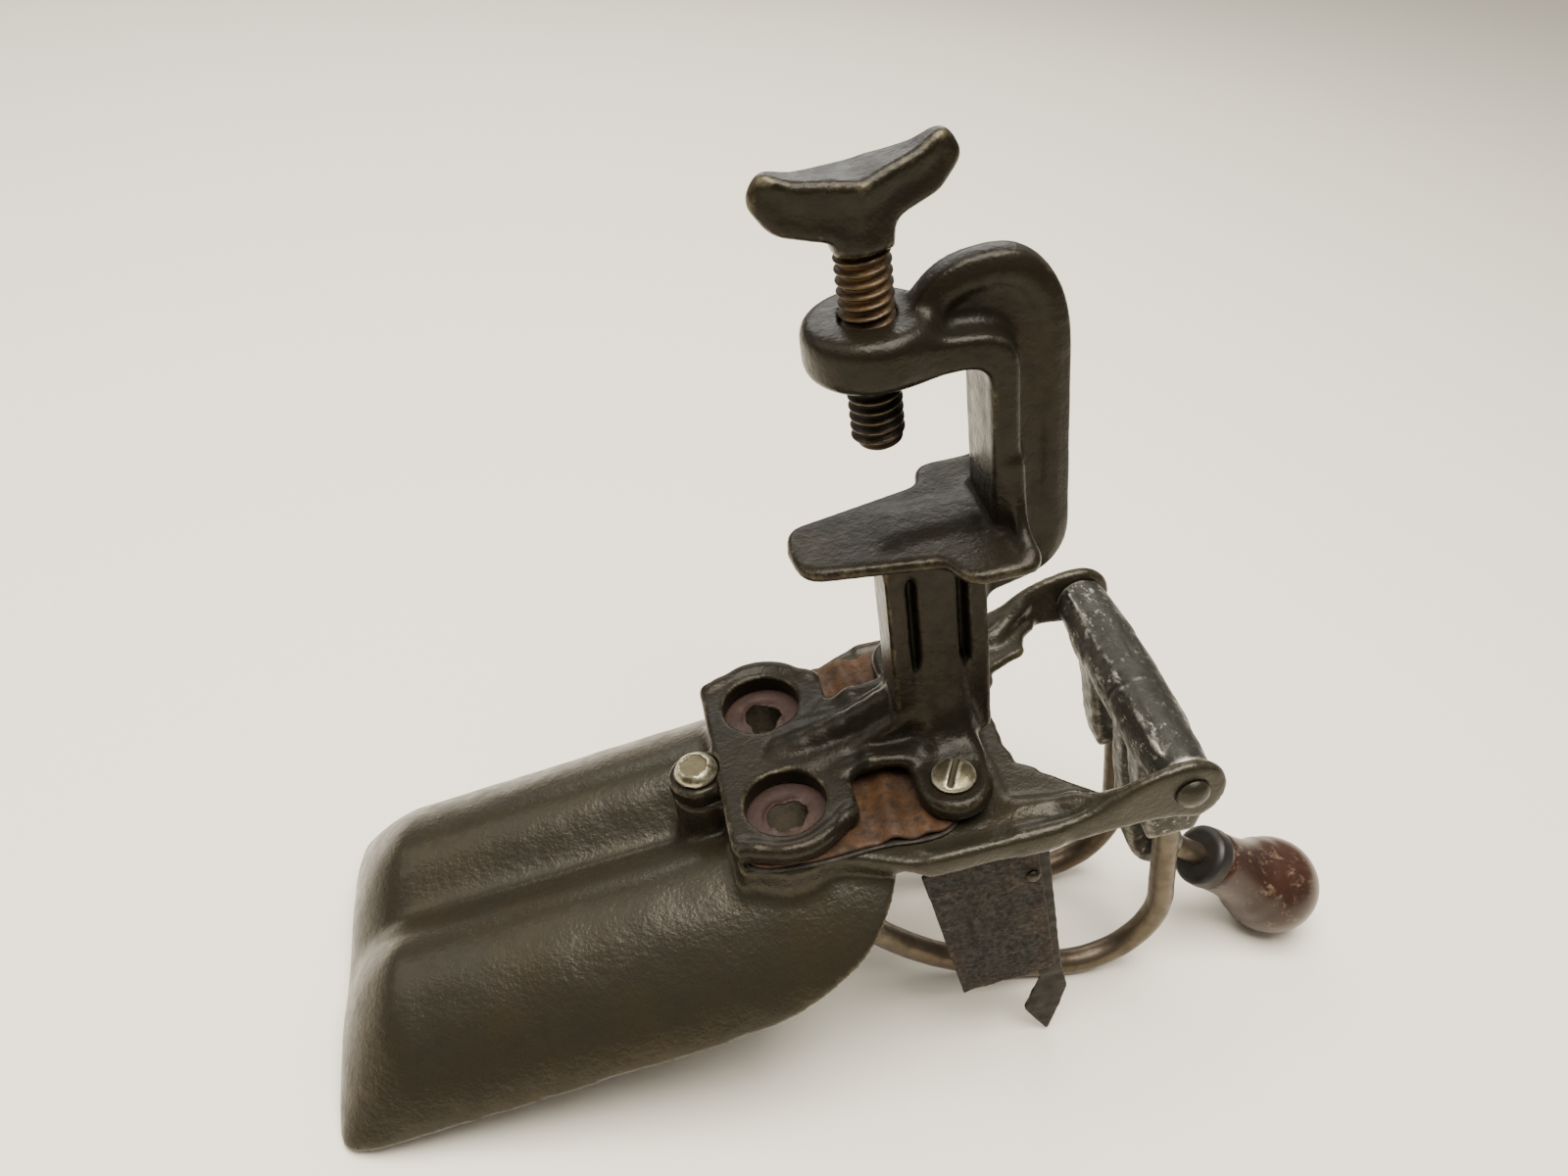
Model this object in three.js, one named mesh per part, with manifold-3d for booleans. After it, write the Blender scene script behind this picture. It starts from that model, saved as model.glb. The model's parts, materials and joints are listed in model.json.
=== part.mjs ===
// Double cherry stoner of cast iron, lying the way it is stored: tray upside down, table clamp on top.
// It rests on the tray's end rim, on its two curved plunger rods and on the knob of its handle.
//
// Design frame, in millimetres: +Z runs up the clamp screw, +X runs from the tray to the plunger pivot,
// +Y runs across to the far side. Z = 0 is the flat of the pit plate, X = Y = 0 is the clamp screw's axis.
// The last section tilts the whole tool about Y until it stands on the table, +Z up, base at Z = 0.

import * as THREE from 'three';
import { mergeVertices } from 'three/addons/utils/BufferGeometryUtils.js';
import Module from 'manifold-3d';

const wasm = await Module();
wasm.setup();

// ---------------------------------------------------------------- driving dimensions

const SEAT_GAP = 0.3;
const PIVOT_GAP = 0.15;

const PIVOT = { x: 65, z: -5, rodRadius: 3.2, sleeveHalf: 38.6, sleeveEndRadius: 7.4, sleeveMidRadius: 9 };
const CUP = { x: -38, y: 19, holeRadius: 11, wallRadius: 15 };
const PLATE = { thickness: 5.5, left: -54.5, right: -19.5, halfWidth: 31.2, lobeRadius: 17.3 };
const SEAT_TOP = -8.4;

const TRAY = {
  left: -174, right: -12, halfWidth: 57.5, wall: 3.8, endLean: 25,
  rimAtCups: -42.9, rimSlope: 0.113, ridgeAtCups: -12.4, ridgeSlope: 0.1156,
  creaseAtCups: -24.9, creaseSlope: 0.076, ridgeY: 20,
};
const RAIL = { outer: 43.2, inner: 33, left: -34, right: 27, bottom: -14.6, top: SEAT_TOP + 1.2 };
const FORK = { inner: 39, outer: 42.8, lobeRadius: 10.8, lobeX: 64.4, lobeZ: -6.2 };

const SCREW = { radius: 6.35, rootRadius: 5.3, pitch: 2.6, tip: 93, top: 142.4 };
const BOSS = { radius: 15.4, bottom: 113.5, top: 126.5 };
const JAW = { padTop: 68, padThickness: 3.2, faceX: 24 };
const SPINE = { flangeHalf: 11.5, flangeDepth: 7, webHalf: 4.8, outerX: 45.4, topZ: 136.3, lowZ: 47 };
const POST = { left: -3.5, right: 22.5, half: 8 };

const FOOT_SCREW = { x: 6.6, y: 25, shank: 3.2, head: 6, lobeTop: 1 };
const PLATE_BOLT = { x: -59.7, shank: 3.4, head: 6.2, dome: 3.8, lugTop: -2 };
const LEATHER = { top: -5.8, thickness: 1.4 };
const BACKING = { top: -7.5, thickness: 0.6 };

const ROD = { radius: 3.95, arc: CUP.x * -1 + PIVOT.x, bend: 25, tipAngle: 25, bendAngle: 76, topZ: -32 };
const SOCKET = { left: 61, right: 79, half: 6.4, bottom: -46 };
const HANDLE = { y: -5.5, rootX: 74, rootZ: -69.5, slope: 44, studRadius: 3.6, knobRadius: 16 };
const LEVER_HALF = 5;
const STRIPPER = { skirt: 1.8, top: -12.6, thickness: 0.8, rivetX: 22.6, rivetZ: -26, rivetRadius: 1.2 };

// ---------------------------------------------------------------- solids: boolean joins and cuts

const radians = (degrees) => (degrees * Math.PI) / 180;

function solid(geometry) {
  const bare = geometry.clone();
  bare.deleteAttribute('normal');
  bare.deleteAttribute('uv');
  const merged = mergeVertices(bare, 1e-4);
  const triangles = [];
  for (let i = 0; i < merged.index.count; i += 3) {
    const [a, b, c] = [0, 1, 2].map((corner) => merged.index.getX(i + corner));
    if (a !== b && b !== c && c !== a) triangles.push(a, b, c);
  }
  return new wasm.Manifold(new wasm.Mesh({
    numProp: 3,
    vertProperties: Float32Array.from(merged.attributes.position.array),
    triVerts: Uint32Array.from(triangles),
  }));
}

const join = (first, ...others) => others.reduce((sum, other) => sum.add(other), first);
const cut = (first, ...others) => others.reduce((rest, other) => rest.subtract(other), first);

function geometryOf(manifold) {
  const mesh = manifold.getMesh();
  const geometry = new THREE.BufferGeometry();
  geometry.setAttribute('position', new THREE.BufferAttribute(mesh.vertProperties, 3));
  geometry.setIndex(new THREE.BufferAttribute(mesh.triVerts, 1));
  geometry.computeVertexNormals();
  return geometry;
}

// ---------------------------------------------------------------- shapes

/** A box given by its limits on the three axes. */
function block([x0, x1], [y0, y1], [z0, z1]) {
  const box = new THREE.BoxGeometry(x1 - x0, y1 - y0, z1 - z0);
  return solid(box.translate((x0 + x1) / 2, (y0 + y1) / 2, (z0 + z1) / 2));
}

/** An upright cylinder, or a cone when the top radius differs. */
function upright(x, y, [z0, z1], radius, sides = 24, topRadius = radius) {
  const cylinder = new THREE.CylinderGeometry(topRadius, radius, z1 - z0, sides);
  return solid(cylinder.rotateX(Math.PI / 2).translate(x, y, (z0 + z1) / 2));
}

/** A cylinder lying along Y. */
function crosswise(x, z, [y0, y1], radius, sides = 16) {
  const cylinder = new THREE.CylinderGeometry(radius, radius, y1 - y0, sides);
  return solid(cylinder.translate(x, (y0 + y1) / 2, z));
}

/** A solid of revolution about an upright axis, from [radius, height] points that start and end on it. */
function turned(points, sides = 32) {
  const profile = points.map(([radius, height]) => new THREE.Vector2(radius, height));
  return new THREE.LatheGeometry(profile, sides).rotateX(Math.PI / 2);
}

/** A closed outline of [u, v, cornerRadius] points, its corners rounded. */
function outline(points) {
  const shape = new THREE.Shape();
  const count = points.length;
  points.forEach(([u, v, radius = 0], i) => {
    const corner = new THREE.Vector2(u, v);
    const before = new THREE.Vector2(...points[(i + count - 1) % count]);
    const after = new THREE.Vector2(...points[(i + 1) % count]);
    const into = corner.clone().sub(before).normalize();
    const out = after.clone().sub(corner).normalize();
    const turn = Math.acos(THREE.MathUtils.clamp(into.dot(out), -1, 1));
    const reach = radius * Math.tan(turn / 2);
    const start = corner.clone().addScaledVector(into, -reach);
    const end = corner.clone().addScaledVector(out, reach);
    if (i === 0) shape.moveTo(start.x, start.y);
    else shape.lineTo(start.x, start.y);
    if (radius > 0) shape.quadraticCurveTo(corner.x, corner.y, end.x, end.y);
  });
  shape.closePath();
  return shape;
}

/** An outline in X and Y, raised from z0 to z1. */
function slab(shape, [z0, z1], curveSegments = 6) {
  const geometry = new THREE.ExtrudeGeometry(shape, { depth: z1 - z0, bevelEnabled: false, curveSegments });
  return solid(geometry.translate(0, 0, z0));
}

/** An outline in X and Z, drawn out along Y from y0 to y1. */
function profile(shape, [y0, y1], curveSegments = 6) {
  const geometry = new THREE.ExtrudeGeometry(shape, { depth: y1 - y0, bevelEnabled: false, curveSegments });
  return solid(geometry.rotateX(Math.PI / 2).translate(0, y1, 0));
}

/** A slab or profile whose edges are rounded by a bevel that stays inside the outline. */
function softened(shape, depth, bevel, curveSegments = 5) {
  return new THREE.ExtrudeGeometry(shape, {
    depth: depth - 2 * bevel, bevelThickness: bevel, bevelSize: bevel, bevelOffset: -bevel,
    bevelSegments: 1, curveSegments,
  }).translate(0, 0, bevel);
}

/** Triangles across a flat loop that face the way the loop winds. */
function capTriangles(loop) {
  const flat = loop.map((point) => new THREE.Vector2(point.y, point.z));
  const winding = Math.sign(THREE.ShapeUtils.area(flat));
  return THREE.ShapeUtils.triangulateShape(flat, []).map(([a, b, c]) => {
    const facing = Math.sign(THREE.ShapeUtils.area([flat[a], flat[b], flat[c]]));
    return facing === winding ? [a, b, c] : [a, c, b];
  });
}

/** A closed skin over a row of loops that all have the same number of points. */
function loft(loops) {
  const count = loops[0].length;
  const positions = loops.flat().flatMap((point) => point.toArray());
  const triangles = [];
  for (let row = 0; row + 1 < loops.length; row += 1) {
    for (let i = 0; i < count; i += 1) {
      const a = row * count + i;
      const b = row * count + ((i + 1) % count);
      triangles.push(a, a + count, b, b, a + count, b + count);
    }
  }
  const last = (loops.length - 1) * count;
  capTriangles(loops[0]).forEach(([a, b, c]) => triangles.push(a, b, c));
  capTriangles(loops[loops.length - 1]).forEach(([a, b, c]) => triangles.push(last + a, last + c, last + b));
  const geometry = new THREE.BufferGeometry();
  geometry.setAttribute('position', new THREE.Float32BufferAttribute(positions, 3));
  geometry.setIndex(triangles);
  const body = solid(geometry);
  return body.volume() < 0 ? solid(flipped(geometry)) : body;
}

function flipped(geometry) {
  const turnedOver = geometry.clone();
  const index = turnedOver.index.array;
  for (let i = 0; i < index.length; i += 3) [index[i], index[i + 1]] = [index[i + 1], index[i]];
  return turnedOver;
}

/** A round bar that follows a curve. */
function bentBar(points, radius, sides, steps) {
  const path = new THREE.CatmullRomCurve3(points, false, 'centripetal');
  const section = new THREE.Shape();
  for (let i = 0; i < sides; i += 1) {
    const angle = (i / sides) * 2 * Math.PI;
    const draw = i === 0 ? 'moveTo' : 'lineTo';
    section[draw](radius * Math.cos(angle), radius * Math.sin(angle));
  }
  return solid(new THREE.ExtrudeGeometry(section, { steps, extrudePath: path, bevelEnabled: false }));
}

// ---------------------------------------------------------------- tray casting

const trayRim = (x) => TRAY.rimAtCups + TRAY.rimSlope * (x - CUP.x);
const trayRidge = (x) => TRAY.ridgeAtCups + TRAY.ridgeSlope * (x - CUP.x);
const trayCrease = (x) => TRAY.creaseAtCups + TRAY.creaseSlope * (x - CUP.x);

/** The W-shaped section of the tray at one station: a valley between two cherry channels. */
function traySection(x, rise, halfWidth, inset, drop) {
  const rim = trayRim(x);
  const lift = (z) => rim + (z - inset - rim) * rise;
  const ridge = lift(trayRidge(x));
  const crease = lift(trayCrease(x));
  const outerY = halfWidth - inset;
  const valley = new THREE.CubicBezierCurve(
    new THREE.Vector2(0, crease), new THREE.Vector2(7, crease + 0.6 * rise),
    new THREE.Vector2(12, ridge), new THREE.Vector2(TRAY.ridgeY, ridge));
  const flank = new THREE.CubicBezierCurve(
    new THREE.Vector2(TRAY.ridgeY, ridge), new THREE.Vector2(33 - inset, ridge),
    new THREE.Vector2(outerY - 5.5, rim + 16 * rise), new THREE.Vector2(outerY, rim));
  const half = [...valley.getPoints(5), ...flank.getPoints(9).slice(1)];
  if (drop > 0) half.push(new THREE.Vector2(outerY, rim - drop));
  const right = half.map((point) => new THREE.Vector3(x, point.x, point.y));
  const left = half.slice(1).reverse().map((point) => new THREE.Vector3(x, -point.x, point.y));
  return [...left, ...right];
}

/** The tray's body: its left end leans in and rounds over into the two channels. */
function trayLoft(inset, drop) {
  const stations = 7;
  const fullness = 1.35;
  const loops = [];
  for (let i = 0; i < stations; i += 1) {
    const angle = (i / (stations - 1)) * (Math.PI / 2);
    const x = TRAY.left + 1.15 * inset + TRAY.endLean * (1 - Math.cos(angle) ** fullness);
    const rise = 0.08 + 0.92 * Math.sin(angle) ** fullness;
    const halfWidth = TRAY.halfWidth - 6 * (1 - Math.sin(angle)) ** 2;
    loops.push(traySection(x, rise, halfWidth, inset, drop));
  }
  loops.push(traySection(TRAY.right + inset, 1, TRAY.halfWidth, inset, drop));
  return loft(loops);
}

/** Cuts the tray's open end back in a curve that climbs from its rim to the side rails. */
function throatCutter() {
  const shape = new THREE.Shape();
  const start = -66;
  shape.moveTo(start, trayRim(start) - 20);
  shape.lineTo(start, trayRim(start) - 0.05);
  shape.bezierCurveTo(-38, trayRim(-38) + 1, -19, -31, TRAY.right + 1, -13);
  shape.lineTo(30, -13);
  shape.lineTo(30, trayRim(start) - 20);
  shape.closePath();
  return profile(shape, [-70, 70], 10);
}

/** The outline that the pit plate and the cup block under it share. */
function plateOutline(grow = 0) {
  const shape = new THREE.Shape();
  const left = PLATE.left - grow;
  const right = PLATE.right + grow;
  const lobe = PLATE.lobeRadius + grow;
  const side = (sign) => [
    [left, sign * (PLATE.halfWidth - 1 + grow)],
    [left + 4, sign * (PLATE.halfWidth + 1.5 + grow)],
  ];
  const arc = (sign) => {
    const from = radians(106);
    const to = radians(48);
    return Array.from({ length: 7 }, (_, i) => {
      const angle = from + ((to - from) * i) / 6;
      return [CUP.x + lobe * Math.cos(angle), sign * (CUP.y + lobe * Math.sin(angle))];
    });
  };
  const hook = (sign) => [
    [right - 2.5, sign * (PLATE.halfWidth - 2.5 + grow)],
    [right, sign * (PLATE.halfWidth - 5 + grow)],
  ];
  const near = [...side(-1), ...arc(-1), ...hook(-1)];
  const far = [...side(1), ...arc(1), ...hook(1)].reverse();
  [...near, ...far].forEach(([x, y], i) => (i === 0 ? shape.moveTo(x, y) : shape.lineTo(x, y)));
  shape.closePath();
  return shape;
}

/** The side view of a fork arm: a rail that dips, then climbs to the pivot lobe. */
function forkArmOutline() {
  const shape = new THREE.Shape();
  const { lobeRadius, lobeZ } = FORK;
  shape.moveTo(RAIL.right - 9, RAIL.top);
  shape.quadraticCurveTo(RAIL.right + 7, RAIL.top - 0.5, 42, -3.4);
  shape.quadraticCurveTo(51, 3.6, FORK.lobeX - 2, lobeZ + lobeRadius);
  shape.absarc(FORK.lobeX, lobeZ, lobeRadius, radians(90), radians(-75), true);
  shape.quadraticCurveTo(54, -12.2, 36, RAIL.bottom);
  shape.lineTo(RAIL.right - 9, RAIL.bottom);
  shape.closePath();
  return shape;
}

/** The apron between the fork arms, with the uneven lip that the pits fall over. */
function apronOutline() {
  const lip = [
    [50, 36], [45.5, 33.5], [44, 27], [38, 24.5], [32.5, 22], [30, 16.5], [27.6, 13], [26.6, 6],
    [26, -1], [26.2, -9], [27, -15], [31.5, -17.5], [33, -20.5], [38, -25.5], [44, -31], [49, -36],
  ];
  const shape = new THREE.Shape();
  const back = 18;
  shape.moveTo(back, RAIL.inner + 8);
  shape.lineTo(50, RAIL.inner + 8);
  lip.forEach(([x, y]) => shape.lineTo(x, y));
  shape.lineTo(49, -RAIL.inner - 8);
  shape.lineTo(back, -RAIL.inner - 8);
  shape.closePath();
  return shape;
}

/** The bar of the casting that carries both feet of the bracket and both rails. */
function railFrame() {
  const { outer, inner, left, right, bottom, top } = RAIL;
  const rails = [-1, 1].map((side) => {
    const plan = [
      [left, 20], [left, inner + 1.5], [-22, inner + 3, 4], [-8, outer, 5], [right, outer], [right, inner],
      [-16, inner], [-16, 20]];
    return slab(outline(plan.map(([x, y, radius]) => [x, side * y, radius])), [bottom, SEAT_TOP], 4);
  });
  const rims = [-1, 1].map((side) =>
    block([-5, right], side < 0 ? [-outer, -outer + 4] : [outer - 4, outer], [bottom, top]));
  const crossBar = block([-4, right - 7], [-inner - 1, inner + 1], [bottom, SEAT_TOP]);
  const apron = slab(apronOutline(), [-13, -9.4]);
  const arms = [-1, 1].map((side) => {
    const span = side < 0 ? [-FORK.outer, -FORK.inner] : [FORK.inner, FORK.outer];
    return profile(forkArmOutline(), span, 5);
  });
  const skirtFace = outer - STRIPPER.skirt;
  const rebates = [-1, 1].map((side) => {
    const span = side < 0 ? [-skirtFace, -inner] : [inner, skirtFace];
    return block([-13, 17.5], span, [bottom - 1, STRIPPER.top + SEAT_GAP]);
  });
  return join(cut(join(crossBar, ...rails, ...rims), ...rebates), apron, ...arms);
}

function trayBody() {
  const shell = cut(join(trayLoft(0, 0), slab(plateOutline(-0.4), [-22, SEAT_TOP])),
    trayLoft(TRAY.wall, 12).intersect(block([-200, 40], [-80, 80], [-90, SEAT_TOP - 5])));
  const cups = [-1, 1].map((side) => upright(CUP.x, side * CUP.y, [-27, SEAT_TOP - 1], CUP.wallRadius));
  const boltLug = upright(PLATE_BOLT.x, 0, [-33, SEAT_TOP + 1], 8.2, 24, 7);
  const body = join(cut(shell, throatCutter()), ...cups, boltLug, railFrame());
  const cupHoles = [-1, 1].map((side) => upright(CUP.x, side * CUP.y, [-40, 5], CUP.holeRadius - 0.6));
  const screwHoles = [-1, 1].map((side) =>
    upright(FOOT_SCREW.x, side * FOOT_SCREW.y, [-40, 5], FOOT_SCREW.shank + SEAT_GAP, 16));
  const boltHole = upright(PLATE_BOLT.x, 0, [-60, 5], PLATE_BOLT.shank + SEAT_GAP, 16);
  const pivotHole = crosswise(PIVOT.x, PIVOT.z, [-60, 60], PIVOT.rodRadius + SEAT_GAP, 16);
  const nutSeat = upright(PLATE_BOLT.x, 0, [-50, -33], 9, 24);
  return cut(body, ...cupHoles, ...screwHoles, boltHole, pivotHole, nutSeat);
}

// ---------------------------------------------------------------- clamp bracket casting

function jawPadOutline() {
  return outline([
    [-25.5, 0, 5], [-24, 8, 5], [11, 15.5, 3], [13, 24, 6], [31, 24, 3],
    [31, -25.5, 4], [13, -25.5, 6], [9.5, -17, 3], [-24, -11, 6],
  ]);
}

/** The flange of the clamp: across the top of the jaw, round the corner and down to the pad. */
function jawFlange() {
  const { faceX } = JAW;
  const depth = SPINE.flangeDepth;
  const shape = outline([
    [0, BOSS.bottom], [faceX, BOSS.bottom, 3], [faceX, JAW.padTop - 2], [faceX + depth, JAW.padTop - 6],
    [faceX + depth, BOSS.bottom + depth + 1, 7], [6, BOSS.bottom + depth + 3],
  ]);
  return profile(shape, [-SPINE.flangeHalf, SPINE.flangeHalf], 4);
}

/** The flange's foot, flaring out into the two shoulders of the pad. */
function flangeFlare() {
  const { padTop, faceX } = JAW;
  const half = SPINE.flangeHalf;
  const shape = new THREE.Shape();
  shape.moveTo(-25, padTop - 2);
  shape.lineTo(-24, padTop + 1);
  shape.quadraticCurveTo(-half - 1, padTop + 4, -half, padTop + 20);
  shape.lineTo(half, padTop + 20);
  shape.quadraticCurveTo(half + 1, padTop + 4, 23, padTop + 1);
  shape.lineTo(24, padTop - 2);
  shape.closePath();
  const depth = 3;
  const flare = new THREE.ExtrudeGeometry(shape, { depth, bevelEnabled: false, curveSegments: 5 });
  flare.rotateX(Math.PI / 2).rotateZ(Math.PI / 2);
  return solid(flare.translate(faceX + SPINE.flangeDepth - depth, 0, 0));
}

/** The web behind the flange, whose thick back arches from the boss down to the post. */
function spineWeb() {
  const { outerX, topZ, lowZ } = SPINE;
  const shape = new THREE.Shape();
  shape.moveTo(5, BOSS.top - 8);
  shape.lineTo(9, BOSS.top);
  shape.bezierCurveTo(14, topZ - 1, 21, topZ, 28, topZ);
  shape.bezierCurveTo(40, topZ, outerX, topZ - 12, outerX, topZ - 26);
  shape.lineTo(outerX, lowZ + 14);
  shape.bezierCurveTo(outerX, lowZ + 6, 41.5, lowZ, 34, lowZ - 2);
  shape.lineTo(POST.right - 3, lowZ - 6);
  shape.lineTo(POST.right - 3, JAW.padTop - 2);
  shape.lineTo(JAW.faceX + 2, JAW.padTop - 2);
  shape.lineTo(JAW.faceX + 2, BOSS.bottom + 2);
  shape.closePath();
  const depth = 2 * SPINE.webHalf;
  return solid(softened(shape, depth, 2, 6).rotateX(Math.PI / 2).translate(0, SPINE.webHalf, 0));
}

/** The post: two flanges and a round rib down the middle of each face. */
function postColumn() {
  const { left, right, half } = POST;
  const span = [FOOT_SCREW.lobeTop - 3, JAW.padTop - 1];
  const flangeWidth = 5.5;
  const core = block([left + 2, right - 2], [-3.4, 3.4], span);
  const flanges = [left, right - flangeWidth].map((x) => {
    const end = x + flangeWidth;
    return slab(outline([[x, -half, 2], [end, -half, 2], [end, half, 2], [x, half, 2]]), span, 3);
  });
  const rib = upright((left + right) / 2, 0, span, 6, 20).add(
    block([left + 9, right - 9], [-half + 0.6, half - 0.6], span));
  return join(core, ...flanges, rib);
}

/** One leg of the foot, spreading from the post down to a round pad under its screw. */
function footLeg(side) {
  const { x, y, lobeTop } = FOOT_SCREW;
  const bottom = -PLATE.thickness;
  const lobe = solid(turned([
    [0, bottom], [10.4, bottom], [10.4, lobeTop - 2], [9.6, lobeTop - 0.5], [8, lobeTop], [0, lobeTop]], 20)
    .translate(x, side * y, 0));
  const neck = block([0, x + 9.9], side < 0 ? [-y, 0] : [0, y], [bottom, lobeTop - 1.2]);
  const gusset = new THREE.Shape();
  gusset.moveTo(0, lobeTop - 2);
  gusset.lineTo(0, 24);
  gusset.lineTo(POST.half - 1, 24);
  gusset.quadraticCurveTo(POST.half + 1.5, 6, y - 6.3, lobeTop - 0.6);
  gusset.lineTo(y - 6.3, lobeTop - 2);
  gusset.closePath();
  const wedge = new THREE.ExtrudeGeometry(gusset, { depth: 13, bevelEnabled: false, curveSegments: 6 });
  const turnedWedge = wedge.rotateX(Math.PI / 2).rotateZ(Math.PI / 2).translate(x - 5, 0, 0);
  const leg = side > 0 ? solid(turnedWedge) : solid(turnedWedge).mirror([0, 1, 0]);
  return join(lobe, neck, leg);
}

/** The arched arm that ties the plate to the foot of the post. */
function plateArm() {
  const shape = new THREE.Shape();
  shape.moveTo(PLATE.right - 13, -1);
  shape.quadraticCurveTo(PLATE.right - 6, 0.4, -14, 3.4);
  shape.lineTo(0, 9.5);
  shape.lineTo(4, 9.5);
  shape.lineTo(4, -4);
  shape.lineTo(-3, -3);
  shape.quadraticCurveTo(-11, 1.2, PLATE.right + 1, -3.5);
  shape.lineTo(PLATE.right - 13, -4);
  shape.closePath();
  return profile(shape, [-9.5, 9.5]);
}

function clampBracket() {
  const plate = slab(plateOutline(), [-PLATE.thickness, 0]);
  const bead = plateBead();
  const lug = upright(PLATE_BOLT.x, 0, [-PLATE.thickness - 1, PLATE_BOLT.lugTop], 7.6, 24)
    .add(block([PLATE_BOLT.x, PLATE.left + 4], [-7, 7], [-PLATE.thickness, PLATE_BOLT.lugTop]));
  const boss = solid(turned([
    [0, BOSS.bottom], [12, BOSS.bottom], [14.4, BOSS.bottom + 2.2], [BOSS.radius, BOSS.bottom + 5.5],
    [BOSS.radius, BOSS.top - 3.6], [14.2, BOSS.top - 1], [11.6, BOSS.top], [0, BOSS.top]], 28));
  const pad = slab(jawPadOutline(), [JAW.padTop - JAW.padThickness, JAW.padTop], 4);
  const padRoot = block([POST.left + 1, JAW.faceX + 4], [-6, 6], [JAW.padTop - 10, JAW.padTop - 1]);
  const body = join(plate, bead, lug, plateArm(), footLeg(-1), footLeg(1), postColumn(),
    pad, padRoot, jawFlange(), flangeFlare(), spineWeb(), boss);
  const pitHoles = [-1, 1].map((side) => upright(CUP.x, side * CUP.y, [-20, 20], CUP.holeRadius));
  const screwHoles = [-1, 1].map((side) =>
    upright(FOOT_SCREW.x, side * FOOT_SCREW.y, [-20, 8], FOOT_SCREW.shank + SEAT_GAP, 16));
  const boltHole = upright(PLATE_BOLT.x, 0, [-20, 8], PLATE_BOLT.shank + SEAT_GAP, 16);
  const boltSeat = upright(PLATE_BOLT.x, 0, [PLATE_BOLT.lugTop, 8], PLATE_BOLT.head + 0.4, 28);
  const thread = upright(0, 0, [BOSS.bottom - 10, BOSS.top + 10], SCREW.radius + SEAT_GAP, 20);
  return cut(body, ...pitHoles, ...screwHoles, boltHole, boltSeat, thread);
}

/** The raised bead along the outer edge of the plate on both sides. */
function plateBead() {
  const lobe = PLATE.lobeRadius;
  const beads = [-1, 1].map((side) => {
    const from = radians(side > 0 ? 112 : -112);
    const to = radians(side > 0 ? 46 : -46);
    const points = Array.from({ length: 6 }, (_, i) => {
      const angle = from + ((to - from) * i) / 5;
      return new THREE.Vector3(
        CUP.x + (lobe - 1.9) * Math.cos(angle), side * CUP.y + (lobe - 1.9) * Math.sin(angle), -1);
    });
    points.push(new THREE.Vector3(PLATE.right - 2.6, side * (PLATE.halfWidth - 5), -1));
    points.unshift(new THREE.Vector3(PLATE.left + 3.4, side * (PLATE.halfWidth - 1.4), -1));
    return bentBar(points, 1.7, 6, 10);
  });
  return join(...beads);
}

// ---------------------------------------------------------------- clamp screw

function clampScrew() {
  const points = [[0, SCREW.tip], [SCREW.rootRadius - 2, SCREW.tip], [SCREW.rootRadius, SCREW.tip + 2]];
  const turns = Math.floor((SCREW.top - SCREW.tip - 4) / SCREW.pitch);
  for (let i = 0; i < turns; i += 1) {
    const root = SCREW.tip + (i + 1) * SCREW.pitch;
    points.push([SCREW.rootRadius, root], [SCREW.radius, root + 0.5 * SCREW.pitch]);
  }
  points.push([SCREW.rootRadius, SCREW.top - 0.6], [SCREW.rootRadius, SCREW.top], [0, SCREW.top]);
  return turned(points, 16);
}

/** The wing: two flat ears that thicken into a diamond over the shank. */
function thumbWing() {
  const base = SCREW.top + SEAT_GAP;
  const ears = outline([
    [-6.3, base], [6.3, base],
    [7, 148.6, 4], [17.5, 151.6, 7], [23.2, 158, 5], [19, 165, 3.5], [12.5, 161.8, 6],
    [0, 158.8, 5],
    [-12.5, 159.8, 6], [-19.5, 162.4, 3.5], [-23.6, 156.5, 5], [-18.5, 148.2, 7], [-7, 146, 2.5],
  ]);
  const blade = profile(ears, [-1.8, 1.8], 5);
  const diamond = new THREE.Shape();
  diamond.moveTo(-16, 0);
  diamond.quadraticCurveTo(-6, -3.5, 0, -7.6);
  diamond.quadraticCurveTo(6, -3.5, 16, 0);
  diamond.quadraticCurveTo(6, 3.5, 0, 7.6);
  diamond.quadraticCurveTo(-6, 3.5, -16, 0);
  const core = slab(diamond, [149, 159.2], 4);
  const neck = upright(0, 0, [base, 151], 6.3, 20, 6.8);
  return join(blade, core, neck);
}

// ---------------------------------------------------------------- fasteners

function domedBolt() {
  const { shank, head, dome, lugTop } = PLATE_BOLT;
  const seat = lugTop + SEAT_GAP;
  return turned([
    [0, -42], [shank - 0.6, -42], [shank, -41], [shank, seat], [head, seat], [head, seat + 0.8],
    [head * 0.86, seat + dome * 0.62], [head * 0.6, seat + dome * 0.93], [head * 0.42, seat + dome],
    [0, seat + dome]], 18);
}

/** A round-headed slotted screw. */
function slottedScrew() {
  const { shank, head, lobeTop } = FOOT_SCREW;
  const seat = lobeTop + SEAT_GAP;
  const body = solid(turned([
    [0, -16], [shank - 0.8, -16], [shank, -15], [shank, seat], [head, seat], [head, seat + 0.9],
    [head * 0.86, seat + 1.9], [head * 0.5, seat + 2.6], [0, seat + 2.8]], 18));
  return geometryOf(cut(body, block([-0.8, 0.8], [-8, 8], [seat + 1.3, seat + 5])));
}

function squareNut() {
  const nut = block([-6, 6], [-6, 6], [0, 5]);
  return geometryOf(cut(nut, upright(0, 0, [-1, 6], PLATE_BOLT.shank + SEAT_GAP, 16)));
}

// ---------------------------------------------------------------- leather and its backing

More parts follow.
